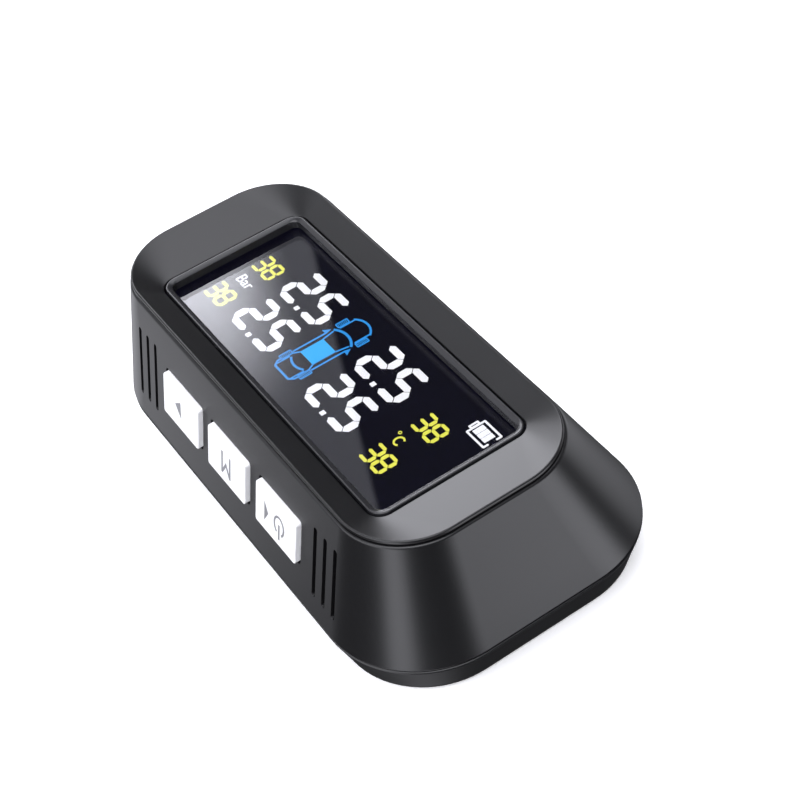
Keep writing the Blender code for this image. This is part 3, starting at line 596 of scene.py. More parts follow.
class DISPLAY_OT_front_bezel(bpy.types.Operator):
    """Make the dished bezel with its rounded rim and the spigot below it"""
    bl_idname = "display.front_bezel"
    bl_label = "Front bezel"

    def execute(self, context):
        case = settings()[0]
        face = face_section(case)
        window = window_section(case)
        top = BEZEL_HIGH.z
        lip = case.rim_lip
        deck_top = SHELL_HIGH.z - case.shoulder_height
        spigot = inset(face, case.groove_depth)
        skirt = inset(deck_section(case), FIT)
        bottom = BEZEL_LOW.z
        edge = top - case.dish_depth
        rings = [
            (window, edge - 0.12 * MM),
            (inset(window, -0.03 * MM), edge - 0.03 * MM),
            (inset(window, -0.12 * MM), edge + 0.04 * MM),
            (inset(face, lip), top - 0.10 * lip),
            (inset(face, 0.75 * lip), top - 0.02 * lip),
            (inset(face, 0.5 * lip), top),
            (inset(face, 0.24 * lip), top - 0.14 * lip),
            (inset(face, 0.06 * lip), top - 0.42 * lip),
            (face, top - lip),
            (face, top - case.rim_height + BREAK),
            (inset(face, BREAK), top - case.rim_height),
            (spigot, top - case.rim_height),
            (spigot, deck_top + FIT),
            (skirt, deck_top + FIT),
            (skirt, bottom),
            (window, bottom),
        ]
        bezel = skin(rings, closed=True)
        finish(bezel, "bezel_moulding", "case", "case_black", "front_bezel")
        return {"FINISHED"}


class DISPLAY_OT_window_trim(bpy.types.Operator):
    """Make the ring that stands in the window"""
    bl_idname = "display.window_trim"
    bl_label = "Window trim"

    def execute(self, context):
        case = settings()[0]
        outer = inset(window_section(case), case.trim_gap)
        inner = inset(outer, case.trim_width)
        crest = TRIM_HIGH.z
        rings = [
            (outer, TRIM_LOW.z),
            (outer, crest - 0.15 * MM),
            (inset(outer, 0.04 * MM), crest - 0.06 * MM),
            (inset(outer, 0.12 * MM), crest - 0.01 * MM),
            (inset(outer, 0.22 * MM), crest),
            (inset(outer, 0.34 * case.trim_width), crest - 0.02 * MM),
            (inset(outer, 0.92 * case.trim_width), crest - 0.28 * MM),
            (inner, crest - 0.36 * MM),
            (inner, TRIM_LOW.z),
        ]
        ring = skin(rings, closed=True)
        finish(ring, "window_ring", "case", "trim_black", "window_trim")
        return {"FINISHED"}


class DISPLAY_OT_housing(bpy.types.Operator):
    """Make the flaring shell with its button windows, vent slots and socket opening"""
    bl_idname = "display.housing"
    bl_label = "Housing"

    def execute(self, context):
        case, buttons = settings()[:2]
        top = SHELL_HIGH.z
        bottom = SHELL_LOW.z
        widest = widest_z(case)
        deck_top = top - case.shoulder_height
        deck_bottom = deck_top - case.deck_thickness
        seat = inset(face_section(case), case.groove_depth - FIT)
        edge = case.shoulder_edge
        rebate, rebate_height = REBATE
        rebate_top = bottom + rebate_height
        rings = [
            (deck_section(case), deck_top),
            (seat, deck_top),
            (seat, top - BREAK),
            (inset(seat, -BREAK), top),
            (flank_section(case, top, edge), top),
            (flank_section(case, top, 0.55 * edge), top - 0.10 * edge),
            (flank_section(case, top, 0.20 * edge), top - 0.38 * edge),
            (flank_section(case, top - edge), top - edge),
        ]
        for step in range(1, FLANK_STEPS):
            z = top - edge + (widest - top + edge) * step / FLANK_STEPS
            rings.append((flank_section(case, z), z))
        chamfer = case.seam_chamfer
        rings += [
            (flank_section(case, widest), widest),
            (flank_section(case, bottom, 0.3 * chamfer), bottom + 0.4 * chamfer),
            (flank_section(case, bottom, chamfer), bottom),
            (flank_section(case, bottom, rebate), bottom),
            (flank_section(case, bottom, rebate), rebate_top),
            (flank_section(case, rebate_top, case.wall), rebate_top),
            (flank_section(case, deck_bottom, case.wall), deck_bottom),
            (deck_section(case), deck_bottom),
        ]
        shell = skin(rings, closed=True)
        gap = buttons.gap
        window = (buttons.width / 2 + gap, buttons.height / 2 + gap, buttons.radius + gap / 2, 0.0)
        slot = (buttons.slot_width / 2, buttons.slot_length / 2, 0.4995 * buttons.slot_width, 0.0)
        tools = [flank_tool(case, step * buttons.pitch, buttons.level, window, 6)
                 for _, step in BUTTONS]
        for side, index in product((-1, 1), range(3)):
            x = side * (buttons.slot_first + index * buttons.slot_pitch)
            tools.append(flank_tool(case, x, buttons.slot_level, slot, 8))
        cut(shell, *tools, socket_tool(FIT))
        finish(shell, "housing_moulding", "case", "case_black", "housing")
        return {"FINISHED"}


def flank_tool(case, x, z, section, steps):
    """A cutter with a rounded outline that runs straight through the button flank."""
    tool = plate(section, 0.0, steps)
    thicken(tool, FLANK_CUT)
    tool.rotation_euler = (math.radians(90), 0.0, 0.0)
    tool.location = (x, button_flank_y(case, z) + FLANK_CUT / 2, z)
    settle(tool)
    return tool


def socket_section(grow=0.0):
    """Outline of the charging socket, rounded nearly to a slot."""
    half_y = (SOCKET_HIGH.y - SOCKET_LOW.y) / 2 + grow
    half_z = (SOCKET_HIGH.z - SOCKET_LOW.z) / 2 + grow
    return (half_y, half_z, 0.8 * half_z, 0.0)


def socket_tool(grow):
    """A cutter for the mouth of the charging socket."""
    tool = plate(socket_section(grow), 0.0, 8)
    thicken(tool, SOCKET_CUT)
    middle = (SOCKET_LOW + SOCKET_HIGH) / 2
    tool.rotation_euler = (math.radians(90), 0.0, math.radians(90))
    tool.location = (SOCKET_LOW.x - SOCKET_CUT / 2, middle.y, middle.z)
    settle(tool)
    return tool


class DISPLAY_OT_back_cover(bpy.types.Operator):
    """Make the tapering back cover with its recesses and counterbores"""
    bl_idname = "display.back_cover"
    bl_label = "Back cover"

    def execute(self, context):
        case = settings()[0]
        wide = (COVER_HIGH.x, COVER_HIGH.y, case.seam_radius + 0.1 * MM, 0.0)
        low = COVER_LOW.z
        seam = SHELL_LOW.z - FIT
        chamfer = case.seam_chamfer
        edge = case.back_edge
        lip_outer, lip_inner, lip_height = LIP
        foot = inset(wide, case.back_taper)
        rings = [
            (inset(foot, 1.00 * edge + 0.3 * MM), low),
            (inset(foot, 0.62 * edge + 0.2 * MM), low + 0.08 * edge),
            (inset(foot, 0.30 * edge), low + 0.29 * edge),
            (inset(foot, 0.08 * edge), low + 0.62 * edge),
            (foot, low + edge),
            (wide, seam - chamfer),
            (inset(wide, 0.3 * chamfer), seam - 0.4 * chamfer),
            (inset(wide, chamfer), seam),
            (inset(wide, lip_outer), seam),
            (inset(wide, lip_outer), seam + lip_height),
            (inset(wide, lip_inner), seam + lip_height),
            (inset(wide, lip_inner), seam),
            (inset(foot, case.wall), low + FLOOR),
        ]
        cover = skin(rings)
        panel = PANEL_HIGH - PANEL_LOW
        room = 2 * FIT
        tools = [rounded_box((panel.x + room, panel.y + room, 2 * PANEL_RECESS),
                             (0.0, 0.0, low))]
        for name in ("grip_pad_left", "grip_pad_right"):
            pad_low, pad_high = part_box(name)
            pad = pad_high - pad_low
            tools.append(rounded_box((pad.x + room, pad.y + room, 2 * PAD_RECESS),
                                     ((pad_low.x + pad_high.x) / 2, 0.0, low)))
        radius, depth = COUNTERBORE
        for index in SCREWS:
            screw_low, screw_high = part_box(f"screw_{index}")
            middle = (screw_low + screw_high) / 2
            tools.append(post(radius, low - 1.0 * MM, low + depth, middle))
        cut(cover, *tools)
        finish(cover, "back_moulding", "case", "case_black", "back_cover")
        return {"FINISHED"}


class DISPLAY_OT_back_fittings(bpy.types.Operator):
    """Make the solar panel, the grip pads and the screws under the unit"""
    bl_idname = "display.back_fittings"
    bl_label = "Back fittings"

    def execute(self, context):
        fittings = settings()[2]
        sheet = rounded_box(PANEL_HIGH - PANEL_LOW, (PANEL_LOW + PANEL_HIGH) / 2,
                            fittings.panel_edge, 3)
        finish(sheet, "solar_sheet", "case", "solar_cell", "solar_panel")
        for side in ("left", "right"):
            self.pad(fittings, side)
        for index in SCREWS:
            self.screw(fittings, index)
        return {"FINISHED"}

    def pad(self, fittings, side):
        """A rubber pad with rounded edges and seven shallow grooves across it."""
        low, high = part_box(f"grip_pad_{side}")
        pad = rounded_box(high - low, (low + high) / 2, fittings.pad_edge, 3)
        groove = (fittings.rib_length, fittings.rib_width, 2 * fittings.rib_depth)
        cut(pad, *(rounded_box(groove, ((low.x + high.x) / 2, step * fittings.rib_pitch, low.z),
                               0.6 * fittings.rib_depth) for step in range(-3, 4)))
        finish(pad, f"pad_{side}", "case", "pad_rubber", f"grip_pad_{side}")

    def screw(self, fittings, index):
        """A pan head with a cross recess on its shank."""
        low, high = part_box(f"screw_{index}")
        middle = (low + high) / 2
        head = fittings.screw_head
        item = post((high.x - low.x) / 2, low.z, low.z + head, middle)
        round_edges(item, fittings.screw_dome, 4)
        cut(item, post(fittings.screw_shank, low.z + 0.8 * head, high.z, middle, 16),
            operation="UNION")
        long, wide, deep = fittings.cross_length, fittings.cross_width, 2 * fittings.cross_depth
        cut(item, *(rounded_box(size, (middle.x, middle.y, low.z))
                    for size in ((long, wide, deep), (wide, long, deep))))
        finish(item, f"screw_head_{index}", "case", "dark_steel", f"screw_{index}")


class DISPLAY_OT_charging_socket(bpy.types.Operator):
    """Make the drawn steel shell of the charging socket and its tongue"""
    bl_idname = "display.charging_socket"
    bl_label = "Charging socket"

    def execute(self, context):
        fittings = settings()[2]
        depth = SOCKET_HIGH.x - SOCKET_LOW.x
        centre = (SOCKET_LOW + SOCKET_HIGH) / 2
        back = depth - fittings.socket_back
        outer = socket_section()
        rim = inset(outer, fittings.socket_wall)
        mouth = 0.08 * MM
        rings = [
            (inset(outer, mouth), 0.0),
            (outer, mouth),
            (outer, depth),
            (inset(rim, 0.2 * MM), depth),
            (inset(rim, 0.2 * MM), back),
            (rim, back),
            (rim, 1.5 * mouth),
            (inset(rim, -0.13 * MM), 0.0),
        ]
        shell = skin(rings, closed=True, steps=8)
        shell.rotation_euler = (math.radians(90), 0.0, math.radians(90))
        shell.location = (SOCKET_LOW.x, centre.y, centre.z)
        settle(shell)
        finish(shell, "socket_shell", "case", "steel", "charging_socket")
        low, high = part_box("socket_tongue")
        tongue = rounded_box(high - low, (low + high) / 2, 0.15 * MM, 3)
        finish(tongue, "socket_blade", "case", "chip", "socket_tongue")
        return {"FINISHED"}


# Buttons --------------------------------------------------------------------------------
BUTTONS = (("left", -1), ("middle", 0), ("right", 1))
CAP_BLANK = 4.0 * MM               # cap in front of the flank before it is cut to its slope


class DISPLAY_OT_buttons(bpy.types.Operator):
    """Make the three caps with their sloping faces and flanges"""
    bl_idname = "display.buttons"
    bl_label = "Buttons"

    def execute(self, context):
        case, buttons = settings()[:2]
        lean = flank_lean(case)
        flank = button_flank_y(case, buttons.level)
        front = flank - buttons.proud
        normal = Vector((0.0, -math.cos(lean), math.sin(lean)))
        cap = plate((buttons.width / 2, buttons.height / 2, buttons.radius, 0.0), 0.0, 5)
        reach = buttons.reach
        thicken(cap, CAP_BLANK + reach)
        cap.rotation_euler = (math.radians(90), 0.0, 0.0)
        cap.location = (0.0, flank + reach, buttons.level)
        settle(cap)
        start_edit(cap)
        bpy.ops.mesh.bisect(plane_co=(0.0, front, buttons.level), plane_no=normal,
                            use_fill=True, clear_outer=True)
        outward()
        end_edit()
        round_edges(cap, buttons.edge, 3, 50.0)
        low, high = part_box("button_middle")
        flange_y = flank + buttons.flange_depth
        flange = rounded_box((high.x - low.x, buttons.flange, high.z - low.z),
                             (0.0, flange_y, buttons.level), 0.3 * MM)
        lean_back(flange, lean, flange_y, buttons.level)
        stem = rounded_box((buttons.stem, high.y - flank - reach, buttons.stem),
                           (0.0, (high.y + flank + reach) / 2, buttons.level), 0.2 * MM)
        cut(cap, flange, stem, operation="UNION")
        for name, step in BUTTONS:
            twin = copy_at(cap, (step * buttons.pitch, 0.0, 0.0))
            finish(twin, f"cap_{name}", f"button_{name}_body", "cap_white",
                   f"button_{name}")
        bpy.data.objects.remove(cap, do_unlink=True)
        return {"FINISHED"}


def lean_back(item, lean, y, z):
    """Turn a piece about the X axis through (y, z), to lie along the flank."""
    pivot = Matrix.Translation((0.0, y, z))
    item.matrix_world = pivot @ Matrix.Rotation(-lean, 4, "X") @ pivot.inverted()
    settle(item)


def on_cap(items, case, buttons, x):
    """Lay flat marks drawn in XY onto the sloping face of the cap at x."""
    item = join(items)
    lean = flank_lean(case)
    lift = buttons.proud + 0.01 * MM
    item.rotation_euler = (math.radians(90) - lean, 0.0, 0.0)
    middle = Vector((x, button_flank_y(case, buttons.level), buttons.level))
    item.location = middle + Vector((0.0, -1.0, 0.0)) * lift
    settle(item)
    return item


def triangle(points):
    """A flat triangle from its three corners."""
    bpy.ops.mesh.primitive_circle_add(vertices=3, radius=1.0, fill_type="NGON")
    item = bpy.context.object
    for vertex, point in zip(item.data.vertices, points):
        vertex.co = (*point, 0.0)
    return item


def arc(centre, radius_x, radius_y, width, start, stop, sides=48):
    """A flat curved band between two angles in degrees, anticlockwise."""
    bpy.ops.mesh.primitive_circle_add(vertices=sides, radius=1.0, fill_type="NOTHING")
    item = bpy.context.object
    start_edit(item)
    bpy.ops.mesh.select_all(action="DESELECT")
    end_edit()
    span = (stop - start) % 360 or 360
    for vertex in item.data.vertices:
        turn = (math.degrees(math.atan2(vertex.co.y, vertex.co.x)) - start) % 360
        vertex.select = turn > span + 0.01
    only(item)
    bpy.ops.object.mode_set(mode="EDIT")
    bpy.ops.mesh.select_mode(type="VERT")
    bpy.ops.mesh.delete(type="VERT")
    bpy.ops.mesh.select_all(action="SELECT")
    bpy.ops.mesh.extrude_region_move()
    bpy.ops.transform.resize(value=(1.0 - width / radius_x, 1.0 - width / radius_y, 1.0),
                             center_override=(0.0, 0.0, 0.0))
    end_edit()
    item.scale = (radius_x, radius_y, 1.0)
    item.location = (*centre, 0.0)
    settle(item)
    return item


def letter(text, size, centre):
    """A short printed mark, as a flat mesh centred on a point."""
    bpy.ops.object.text_add(location=(0.0, 0.0, 0.0))
    item = bpy.context.object
    item.data.body = text
    item.data.align_x = "CENTER"
    item.data.align_y = "CENTER"
    only(item)
    bpy.ops.object.convert(target="MESH")
    item = bpy.context.object
    start_edit(item)
    bpy.ops.mesh.remove_doubles(threshold=0.0001)
    end_edit()
    item.scale = (size, size, 1.0)
    item.location = (*centre, 0.0)
    settle(item)
    return item


class DISPLAY_OT_button_marks(bpy.types.Operator):
    """Print the arrow, mode and power marks on the caps"""
    bl_idname = "display.button_marks"
    bl_label = "Button marks"

    def execute(self, context):
        case, buttons = settings()[:2]
        wide = buttons.width
        high = buttons.height
        ink = 0.03 * MM

        def spot(u, v):
            return ((u - 0.5) * wide, (0.5 - v) * high)

        left = triangle([spot(0.35, 0.45), spot(0.52, 0.70), spot(0.50, 0.29)])
        middle = letter("M", 0.82 * high, spot(0.5, 0.5))
        middle.scale.x = 0.75
        middle.rotation_euler.z = math.pi
        settle(middle)
        play = triangle([spot(0.233, 0.265), spot(0.233, 0.765), spot(0.33, 0.5)])
        ring = arc(spot(0.60, 0.50), 0.130 * wide, 0.245 * high, 0.36 * MM, 300, 240)
        stem = plate((0.19 * MM, 0.19 * high, 0.0, 0.0), 0.0)
        stem.location = (*spot(0.60, 0.66), 0.0)
        settle(stem)
        marks = (("left", [left]), ("middle", [middle]), ("right", [play, ring, stem]))
        for (name, items), (_, step) in zip(marks, BUTTONS):
            for item in items:
                thicken(item, ink)
            mark = on_cap(items, case, buttons, step * buttons.pitch)
            finish(mark, f"mark_{name}", f"button_{name}_body", "mark_grey")
        return {"FINISHED"}


# Screen ---------------------------------------------------------------------------------
SEGMENTS = {                       # a top, b upper right, c lower right, d bottom, e, f, g middle
    "2": "abged",
    "3": "abgcd",
    "5": "afgcd",
    "8": "abcdefg",
}


def lit_bar(long, wide, upright):
    """One segment: a flat bar whose ends come to a blunt point."""
    half = (wide / 2, long / 2) if upright else (long / 2, wide / 2)
    item = plate((*half, 0.0, 0.0))
    start_edit(item)
    bpy.ops.mesh.bevel(offset=0.48 * wide, segments=1, affect="VERTICES")
    end_edit()
    return item


def segment_digit(text, low_left, width, height, stroke, gap):
    """A seven segment digit with its lower left corner at a point."""
    flat = 0.86 * stroke
    x, y = low_left
    left = x + stroke / 2
    right = x + width - stroke / 2
    rows = (y + flat / 2, y + height / 2, y + height - flat / 2)
    across = width - stroke - gap
    tall = (height - flat) / 2 - gap
    places = {
        "a": ((left + right) / 2, rows[2], False),
        "g": ((left + right) / 2, rows[1], False),
        "d": ((left + right) / 2, rows[0], False),
        "b": (right, (rows[1] + rows[2]) / 2, True),
        "c": (right, (rows[0] + rows[1]) / 2, True),
        "f": (left, (rows[1] + rows[2]) / 2, True),
        "e": (left, (rows[0] + rows[1]) / 2, True),
    }
    bars = {True: lit_bar(tall, stroke, True), False: lit_bar(across, flat, False)}
    items = [copy_at(bars[places[key][2]], (*places[key][:2], 0.0)) for key in SEGMENTS[text]]
    for bar in bars.values():
        bpy.data.objects.remove(bar, do_unlink=True)
    return items


def lit_layer(items, name, material, screen):
    """Give flat marks their thickness and lay them on the screen under the glass."""
    item = join(items)
    thicken(item, screen.layer)
    item.location = (screen.shift_x, FACE_Y + screen.shift_y,
                     LENS_LOW.z - 0.04 * MM - screen.layer)
    finish(item, name, "case", material)


PRESSURE_COLUMNS = (-20.9, 1.15)   # lower left corners of the readings, in millimetres
PRESSURE_ROWS = (1.55, -7.1)
TEMPERATURE_COLUMNS = (-29.2, 17.1)
TEMPERATURE_ROWS = (1.5, -7.2)


class DISPLAY_OT_pressure_digits(bpy.types.Operator):
    """Light the four pressure readings"""
    bl_idname = "display.pressure_digits"
    bl_label = "Pressure digits"

    def execute(self, context):
        screen = settings()[3]
        width = screen.digit_width
        items = []
        for x, y in product(PRESSURE_COLUMNS, PRESSURE_ROWS):
            x, y = x * MM, y * MM
            for text, shift in (("2", 0.0), ("5", screen.digit_pitch)):
                items += segment_digit(text, (x + shift, y), width, screen.digit_height,
                                       screen.digit_stroke, screen.digit_gap)
            dot = plate((0.42 * MM, 0.42 * MM, 0.08 * MM, 0.0), 0.0, 3)
            dot.location = (x + 5.78 * MM, y + 0.45 * MM, 0.0)
            settle(dot)
            items.append(dot)
        lit_layer(items, "pressure_digits", "lit_white", screen)
        return {"FINISHED"}


class DISPLAY_OT_temperature_digits(bpy.types.Operator):
    """Light the four temperature readings and their unit"""
    bl_idname = "display.temperature_digits"
    bl_label = "Temperature digits"

    def execute(self, context):
        screen = settings()[3]
        items = []
        for x, y in product(TEMPERATURE_COLUMNS, TEMPERATURE_ROWS):
            x, y = x * MM, y * MM
            for text, shift in (("3", 0.0), ("8", screen.small_pitch)):
                items += segment_digit(text, (x + shift, y), screen.small_width,
                                       screen.small_height, screen.small_stroke,
                                       screen.small_gap)
        items.append(arc((17.75 * MM, -0.30 * MM), 0.30 * MM, 0.30 * MM, 0.14 * MM, 0, 0, 20))
        items.append(arc((19.05 * MM, -1.32 * MM), 0.85 * MM, 0.95 * MM, 0.30 * MM, 45, 315, 40))
        lit_layer(items, "temperature_digits", "lit_yellow", screen)
        return {"FINISHED"}


class DISPLAY_OT_screen_marks(bpy.types.Operator):
    """Light the pressure unit and the battery mark"""
    bl_idname = "display.screen_marks"
    bl_label = "Screen marks"

    def execute(self, context):
        screen = settings()[3]
        items = [letter("Bar", 2.7 * MM, (-26.15 * MM, -1.05 * MM))]
        items += self.battery(23.0 * MM, 6.9 * MM, 4.9 * MM, 3.1 * MM)
        lit_layer(items, "screen_marks", "lit_white", screen)
        return {"FINISHED"}

    def battery(self, x, y, wide, high):
        """A battery outline with its terminal on the left and three bars."""
        line = 0.32 * MM
        middle = (x + 0.9 * MM + (wide - 0.9 * MM) / 2, y + high / 2)
        left = x + 0.9 * MM
        right = x + wide
        items = [framed(0.42 * MM, 0.85 * MM, 0.15 * MM, line, (x + 0.55 * MM, middle[1])),
                 stroke((left, y), (left, y + high), line)]
        for edge, end in ((y, y + 0.8 * MM), (y + high, y + high - 0.8 * MM)):
            items.append(stroke((left, edge), (right, edge), line))
            items.append(stroke((right, edge), (right, end), line))
        for step in (-1, 0, 1):
            items.append(plate((0.47 * MM, high / 2 - 0.62 * MM, 0.08 * MM, middle[1]), 0.0, 3,
                               middle[0] + (step * 1.04 - 0.08) * MM))
        return items


def framed(half_x, half_y, radius, line, centre):
    """A flat rounded frame: an outline with its inside taken out."""
    item = plate((half_x, half_y, radius, 0.0), 0.0, 6)
    start_edit(item, "FACE")
    bpy.ops.mesh.inset(thickness=line)
    bpy.ops.mesh.delete(type="FACE")
    end_edit()
    item.location = (*centre, 0.0)
    settle(item)
    return item


class DISPLAY_OT_car_mark(bpy.types.Operator):
    """Light the plan view of a plain car with its four wheels"""
    bl_idname = "display.car_mark"
    bl_label = "Car mark"

    def execute(self, context):
        screen = settings()[3]
        x = -4.48 * MM
        items = [arc((x, 5.6 * MM), 3.10 * MM, 2.85 * MM, 0.34 * MM, 33, 147),
                 arc((x, 1.6 * MM), 3.75 * MM, 3.27 * MM, 0.42 * MM, 41, 139),
                 arc((x, -1.9 * MM), 3.20 * MM, 3.05 * MM, 0.38 * MM, 229, 311),
                 self.line(x, 1, ((-1.9, -6.93), (1.9, -6.93)), 0.36)]
        for side in (-1, 1):
            items += self.flank(x, side)
        lit_layer(items, "car_outline", "lit_blue", screen)
        roof = plate((1.81 * MM, 2.03 * MM, 0.15 * MM, -0.56 * MM), 0.0, 6, x)
        lit_layer([roof], "car_roof", "lit_roof", screen)
        return {"FINISHED"}

    def line(self, x, side, ends, width):
        """A line on one side of the car, measured in millimetres from its middle."""
        return stroke(*((x + side * u * MM, v * MM) for u, v in ends), width * MM)

    def flank(self, x, side):
        lines = (((2.14, 7.4), (2.14, 4.7), 0.24),          # bonnet
                 ((2.68, 2.5), (2.68, -3.3), 0.28),         # doors
                 ((2.22, 3.5), (1.84, 1.5), 0.26),          # pillars
                 ((1.78, 1.4), (1.78, -2.6), 0.20),
                 ((1.84, -2.6), (2.3, -3.45), 0.26),
                 ((2.08, -4.3), (2.08, -6.6), 0.22),        # boot
                 ((2.55, -5.7), (2.55, -6.2), 0.30),
                 ((2.55, -6.15), (1.9, -6.93), 0.32))
        items = [self.line(x, side, ends, width) for *ends, width in lines]
        mirror = [(x + side * u * MM, v * MM) for u, v in ((2.85, 3.45), (2.5, 2.4), (3.62, 2.35))]
        items.append(triangle(mirror if side > 0 else mirror[::-1]))
        for y in (5.52, -4.53):
            items.append(framed(0.55 * MM, 1.08 * MM, 0.2 * MM, 0.18 * MM,
                                (x + side * 2.8 * MM, y * MM)))
            for step in range(-3, 4):
                hatch = y + step * 0.28
                items.append(self.line(x, side, ((2.4, hatch), (3.2, hatch + 0.2)), 0.12))
        return items


def stroke(start, stop, width):
    """A straight flat line between two points."""
    dx, dy = stop[0] - start[0], stop[1] - start[1]
    item = plate((math.hypot(dx, dy) / 2 + width / 3, width / 2, 0.45 * width, 0.0), 0.0, 3)
    item.rotation_euler.z = math.atan2(dy, dx)
    item.location = ((start[0] + stop[0]) / 2, (start[1] + stop[1]) / 2, 0.0)
    settle(item)
    return item


class DISPLAY_OT_lens(bpy.types.Operator):
    """Make the clear cover glass with its fine broken edges"""
    bl_idname = "display.lens"
    bl_label = "Cover glass"

    def execute(self, context):
        size = LENS_HIGH - LENS_LOW
        middle = (LENS_LOW + LENS_HIGH) / 2
        section = (size.x / 2, size.y / 2, 1.4 * MM, middle.y)
        glass = skin([
            (inset(section, BREAK), LENS_LOW.z),
            (section, LENS_LOW.z + BREAK),
            (section, LENS_HIGH.z - BREAK),
            (inset(section, BREAK), LENS_HIGH.z),
        ], steps=8)
        finish(glass, "cover_glass", "case", "cover_glass", "display_lens")
        return {"FINISHED"}


class DISPLAY_OT_inner_parts(bpy.types.Operator):
    """Finish the electronics that stay as they are in the frame"""
    bl_idname = "display.inner_parts"
    bl_label = "Inner parts"

    def execute(self, context):
        for material, nodes in INNER_FINISHES.items():
            for node in nodes:
                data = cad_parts[node].data
                data.materials.clear()
                data.materials.append(MATERIALS[material])
        return {"FINISHED"}


INNER_FINISHES = {
    "lcd_dark": ("lcd_cell",),
    "acrylic": ("light_guide",),
    "inner_white": ("lcd_frame", "battery_plug", "switch_plunger_left", "switch_plunger_middle",
                    "switch_plunger_right"),
    "chip": ("controller_chip", "receiver_chip", "switch_left", "switch_middle",
             "switch_right", "buzzer"),
    "foam": ("contact_strip", "battery_foam"),
    "board": ("main_board",),
    "steel": ("crystal_can",),
    "foil": ("battery",),
    "lead_red": ("battery_lead_red",),
    "lead_black": ("battery_lead_black", "solar_lead"),
    "copper": ("antenna_spring",),
}


def make_materials():
    """Make every finish, which MATERIALS then holds by name."""
    case, buttons, _, screen, _ = settings()
    moulded("case_black", tuple(case.black), 0.33, depth=0.006)
    moulded("trim_black", tuple(case.trim), 0.26, depth=0.004)
    moulded("cap_white", tuple(buttons.white), 0.30, variation=0.015, depth=0.004)
    moulded("mark_grey", tuple(buttons.mark), 0.5)
    moulded("pad_rubber", (0.030, 0.030, 0.031), 0.75, depth=0.05, grain=2500.0)
    moulded("inner_white", (0.72, 0.72, 0.70), 0.45)
    moulded("chip", (0.016, 0.016, 0.018), 0.5, depth=0.03)
    moulded("foam", (0.09, 0.09, 0.09), 0.9, depth=0.15, grain=1500.0)
    moulded("acrylic", (0.66, 0.70, 0.74), 0.15)
    dark_screen("lcd_dark")
    moulded("lead_red", (0.45, 0.02, 0.02), 0.45)
    moulded("lead_black", (0.02, 0.02, 0.02), 0.45)
    brushed("steel", (0.60, 0.60, 0.61), 0.28)
    brushed("dark_steel", (0.30, 0.30, 0.31), 0.32)
    brushed("foil", (0.58, 0.59, 0.61), 0.35)
    brushed("copper", (0.72, 0.36, 0.20), 0.30)
    board_finish("board")
    cell_grid("solar_cell")
    clear_cover("cover_glass")
    for tone in ("white", "yellow", "blue", "roof"):
        glowing(f"lit_{tone}", tuple(getattr(screen, tone)), screen.glow)


# Studio ---------------------------------------------------------------------------------
AMBIENT = 0.05                     # light from every other direction
SOFTBOXES = (      # azimuth, elevation, half width, half height, side edge, top edge, strength
    (161, 20, 11, 12, 7, 5, 6.3),              # low key light on the end of the bezel
    (181, 24, 3, 10, 5, 8, 4.0),               # thin strip that streaks the corner
    (176, 36, 15, 5, 4.0, 7, 7.2),             # light that fades up the cover glass
    (174, 40, 16, 14, 0.4, 3, 0.60),
    (133, 68, 52, 14, 20, 10, 3.7),            # overhead, towards the far end
    (-147, 40, 14, 12, 10, 10, 1.2),
    (-95, 14, 36, 15, 24, 12, 3.0),            # fill on the buttons
    (-45, 60, 62, 20, 20, 14, 4.6),            # overhead, behind the camera
    (32, -22, 22, 15, 7, 8, 3.2),              # low reflectors around the flanks
    (-60, -21, 12, 16, 7, 8, 3.7),
    (-160, -22, 21, 16, 16, 10, 1.25),
    (-60, -64, 45, 16, 40, 14, 1.6),           # sheen on the tapering back
    (100, -8, 24, 20, 16, 12, 1.3),            # fill on the far flank
)


